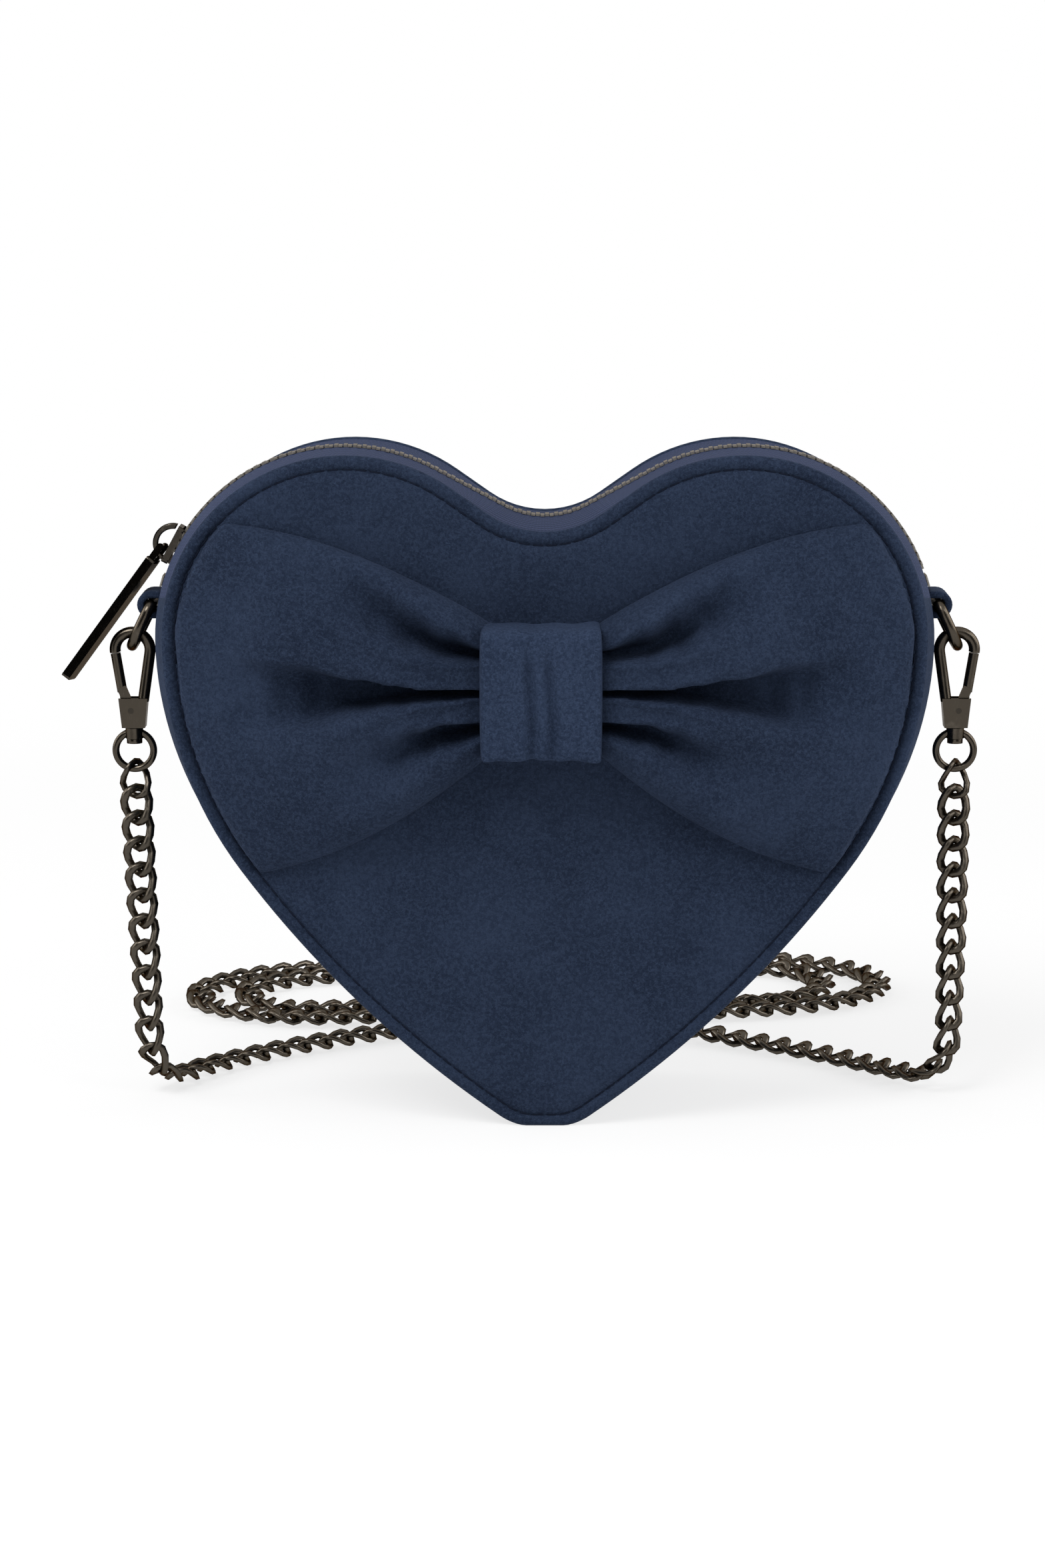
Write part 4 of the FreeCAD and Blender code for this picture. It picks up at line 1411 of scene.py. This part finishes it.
@dataclass
class Hardware:
    """Frame nodes that keep their shape and get their own finish."""

    paired: tuple[str, ...] = ("d_ring", "clasp_hook", "clasp_gate", "clasp_eye")
    slider: tuple[str, ...] = ("slider_body", "slider_bridge", "zip_pull")
    edge_round: float = 0.00035
    edge_angle: float = 40.0
    weld_gap: float = 0.000001

    def soften(self, nodes: Iterable[str]) -> None:
        """Rounds the hard edges of carried-over nodes with a modifier."""
        for name in nodes:
            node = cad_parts[name]
            weld = node.modifiers.new("weld", "WELD")
            weld.merge_threshold = self.weld_gap
            bevel = node.modifiers.new("bevel", "BEVEL")
            bevel.width = self.edge_round
            bevel.segments = 2
            bevel.limit_method = "ANGLE"
            bevel.angle_limit = math.radians(self.edge_angle)

    def build(self) -> None:
        """Repaints every node that stays."""
        sides = [side.word for side in Side]
        SATIN_METAL.repaint(f"{name}_{side}" for name in self.paired for side in sides)
        BRIGHT_METAL.repaint(f"{name}_{side}" for name in ("clasp_pin", "clasp_spring") for side in sides)
        BRIGHT_METAL.repaint(self.slider)
        self.soften((*self.slider, "clasp_hook_left", "clasp_hook_right"))
        TOOTH_METAL.repaint(("zip_teeth_front", "zip_teeth_rear", "zip_stops"))
        LINING.repaint(("lining_front", "lining_back", "lining_gusset"))
        BOARD.repaint(("front_board", "back_board", "gusset_board"))
        LOG.info("hardware repainted")


@dataclass
class Studio:
    """Camera, white floor and soft light."""

    eye: Vector = Vector((0.0, -0.9449, 0.2682))
    target: Vector = Vector((0.0, 0.0, 0.0879))
    lens: float = 81.54
    sensor: float = 36.0
    shift: float = -0.0142
    floor_size: float = 8.0
    floor_paint: Colour = (0.92, 0.92, 0.92)
    near_glow: float = 0.72
    glow_from: float = 0.2
    glow_full: float = 0.7
    fill: float = 0.38
    white: Colour = (1.0, 1.0, 1.0)
    lamps: tuple[tuple[str, Vector, float, float], ...] = (
        ("key_box", Vector((-0.55, -0.75, 1.25)), 0.7, 14.0),
        ("side_box", Vector((0.95, -0.7, 0.7)), 0.6, 4.5),
    )
    rim: Vector = Vector((0.9, 0.1, 0.45))
    rim_size: float = 0.6
    rim_power: float = 3.6
    card: Vector = Vector((0.42, -0.55, 0.25))
    card_size: float = 0.5
    card_paint: Colour = (0.01, 0.01, 0.01)

    def camera(self) -> None:
        """Sets the camera where the view was taken from."""
        data = bpy.data.cameras.new("view")
        data.lens = self.lens
        data.sensor_width = self.sensor
        data.shift_x = self.shift
        holder = bpy.data.objects.new("view", data)
        holder.location = self.eye
        holder.rotation_euler = (self.target - self.eye).to_track_quat("-Z", "Y").to_euler()
        bpy.context.scene.collection.objects.link(holder)
        bpy.context.scene.camera = holder

    def seen(self, graph: Graph) -> Value:
        """1 for rays that show the background directly, in gloss or through glass."""
        path = graph.node("ShaderNodeLightPath", {}, {})
        kinds = ("Is Camera Ray", "Is Glossy Ray", "Is Transmission Ray")
        rays = [Value(graph, path.outputs[kind]) for kind in kinds]
        return rays[0].math("MINIMUM", rays[0] + rays[1] + rays[2], 1.0)

    def floor(self) -> None:
        """White floor that keeps a soft shadow."""
        Bench.clear()
        bpy.ops.mesh.primitive_plane_add(size=self.floor_size)
        plane = bpy.context.object
        plane.name = "studio_floor"
        paint = bpy.data.materials.new("studio_white")
        paint.use_nodes = True
        graph = Graph(paint.node_tree)
        matt = graph.add("ShaderNodeBsdfDiffuse", {}, {"Color": self.floor_paint})
        glow = graph.add("ShaderNodeEmission", {}, {"Color": self.white, "Strength": 1.0})
        near = graph.add("ShaderNodeVectorMath", {"operation": "LENGTH"}, {0: graph.place()}, "Value")
        glowing = near.within(self.glow_from, self.glow_full) * (1.0 - self.near_glow) + self.near_glow
        share = self.seen(graph) * glowing
        mixed = graph.add("ShaderNodeMixShader", {}, {0: share, 1: matt, 2: glow})
        graph.node("ShaderNodeOutputMaterial", {}, {"Surface": mixed})
        plane.data.materials.append(paint)

    def world(self) -> None:
        """White surroundings, dimmer as a light than as a backdrop."""
        scene = bpy.context.scene
        scene.world = bpy.data.worlds.new("studio_air")
        scene.world.use_nodes = True
        graph = Graph(scene.world.node_tree)
        strength = self.seen(graph) * (1.0 - self.fill) + self.fill
        air = graph.add("ShaderNodeBackground", {}, {"Color": self.white, "Strength": strength})
        graph.node("ShaderNodeOutputWorld", {}, {"Surface": air})
        scene.view_settings.view_transform = "Standard"

    def lamp(self, name: str, place: Vector, size: float, power: float) -> None:
        """Adds a soft box that points at the purse.

        Args:
            name: Name of the lamp.
            place: Where it stands.
            size: Side of its square.
            power: Watts.
        """
        data = bpy.data.lights.new(name, "AREA")
        data.size = size
        data.energy = power
        holder = bpy.data.objects.new(name, data)
        holder.location = place
        holder.rotation_euler = (self.target - place).to_track_quat("-Z", "Y").to_euler()
        bpy.context.scene.collection.objects.link(holder)

    def flag(self, side: Side) -> None:
        """Stands a dark card beside the view that only shows as reflections."""
        Bench.clear()
        place = self.card if side is Side.RIGHT else mirrored(self.card)
        turn = (self.target - place).to_track_quat("Z", "Y").to_euler()
        bpy.ops.mesh.primitive_plane_add(size=self.card_size, location=place, rotation=turn)
        card = bpy.context.object
        card.name = f"studio_flag_{side.word}"
        paint = bpy.data.materials.new(card.name)
        paint.use_nodes = True
        graph = Graph(paint.node_tree)
        graph.surface({"Base Color": self.card_paint, "Roughness": 0.9})
        card.data.materials.append(paint)
        card.visible_camera = False
        card.visible_diffuse = False
        card.visible_shadow = False

    def build(self) -> None:
        """Sets the studio up."""
        self.camera()
        self.floor()
        self.world()
        for lamp in self.lamps:
            self.lamp(*lamp)
        for side in Side:
            self.flag(side)
            place = self.rim if side is Side.RIGHT else mirrored(self.rim)
            self.lamp(f"{side.word}_rim", place, self.rim_size, self.rim_power)
        LOG.info("studio ready")


def main() -> None:
    """Builds the studio and every piece in order."""
    logging.basicConfig(level=logging.INFO, format="%(name)s: %(message)s")
    Studio().build()
    ChainStrap().build()
    for face in Face:
        HeartPanel(face).build()
    SideWall().build()
    Topstitch().build()
    for side in Side:
        BowWing(side).build()
        RingTab(side).build()
    BowKnot().build()
    Hardware().build()


if __name__ == "__main__":
    main()
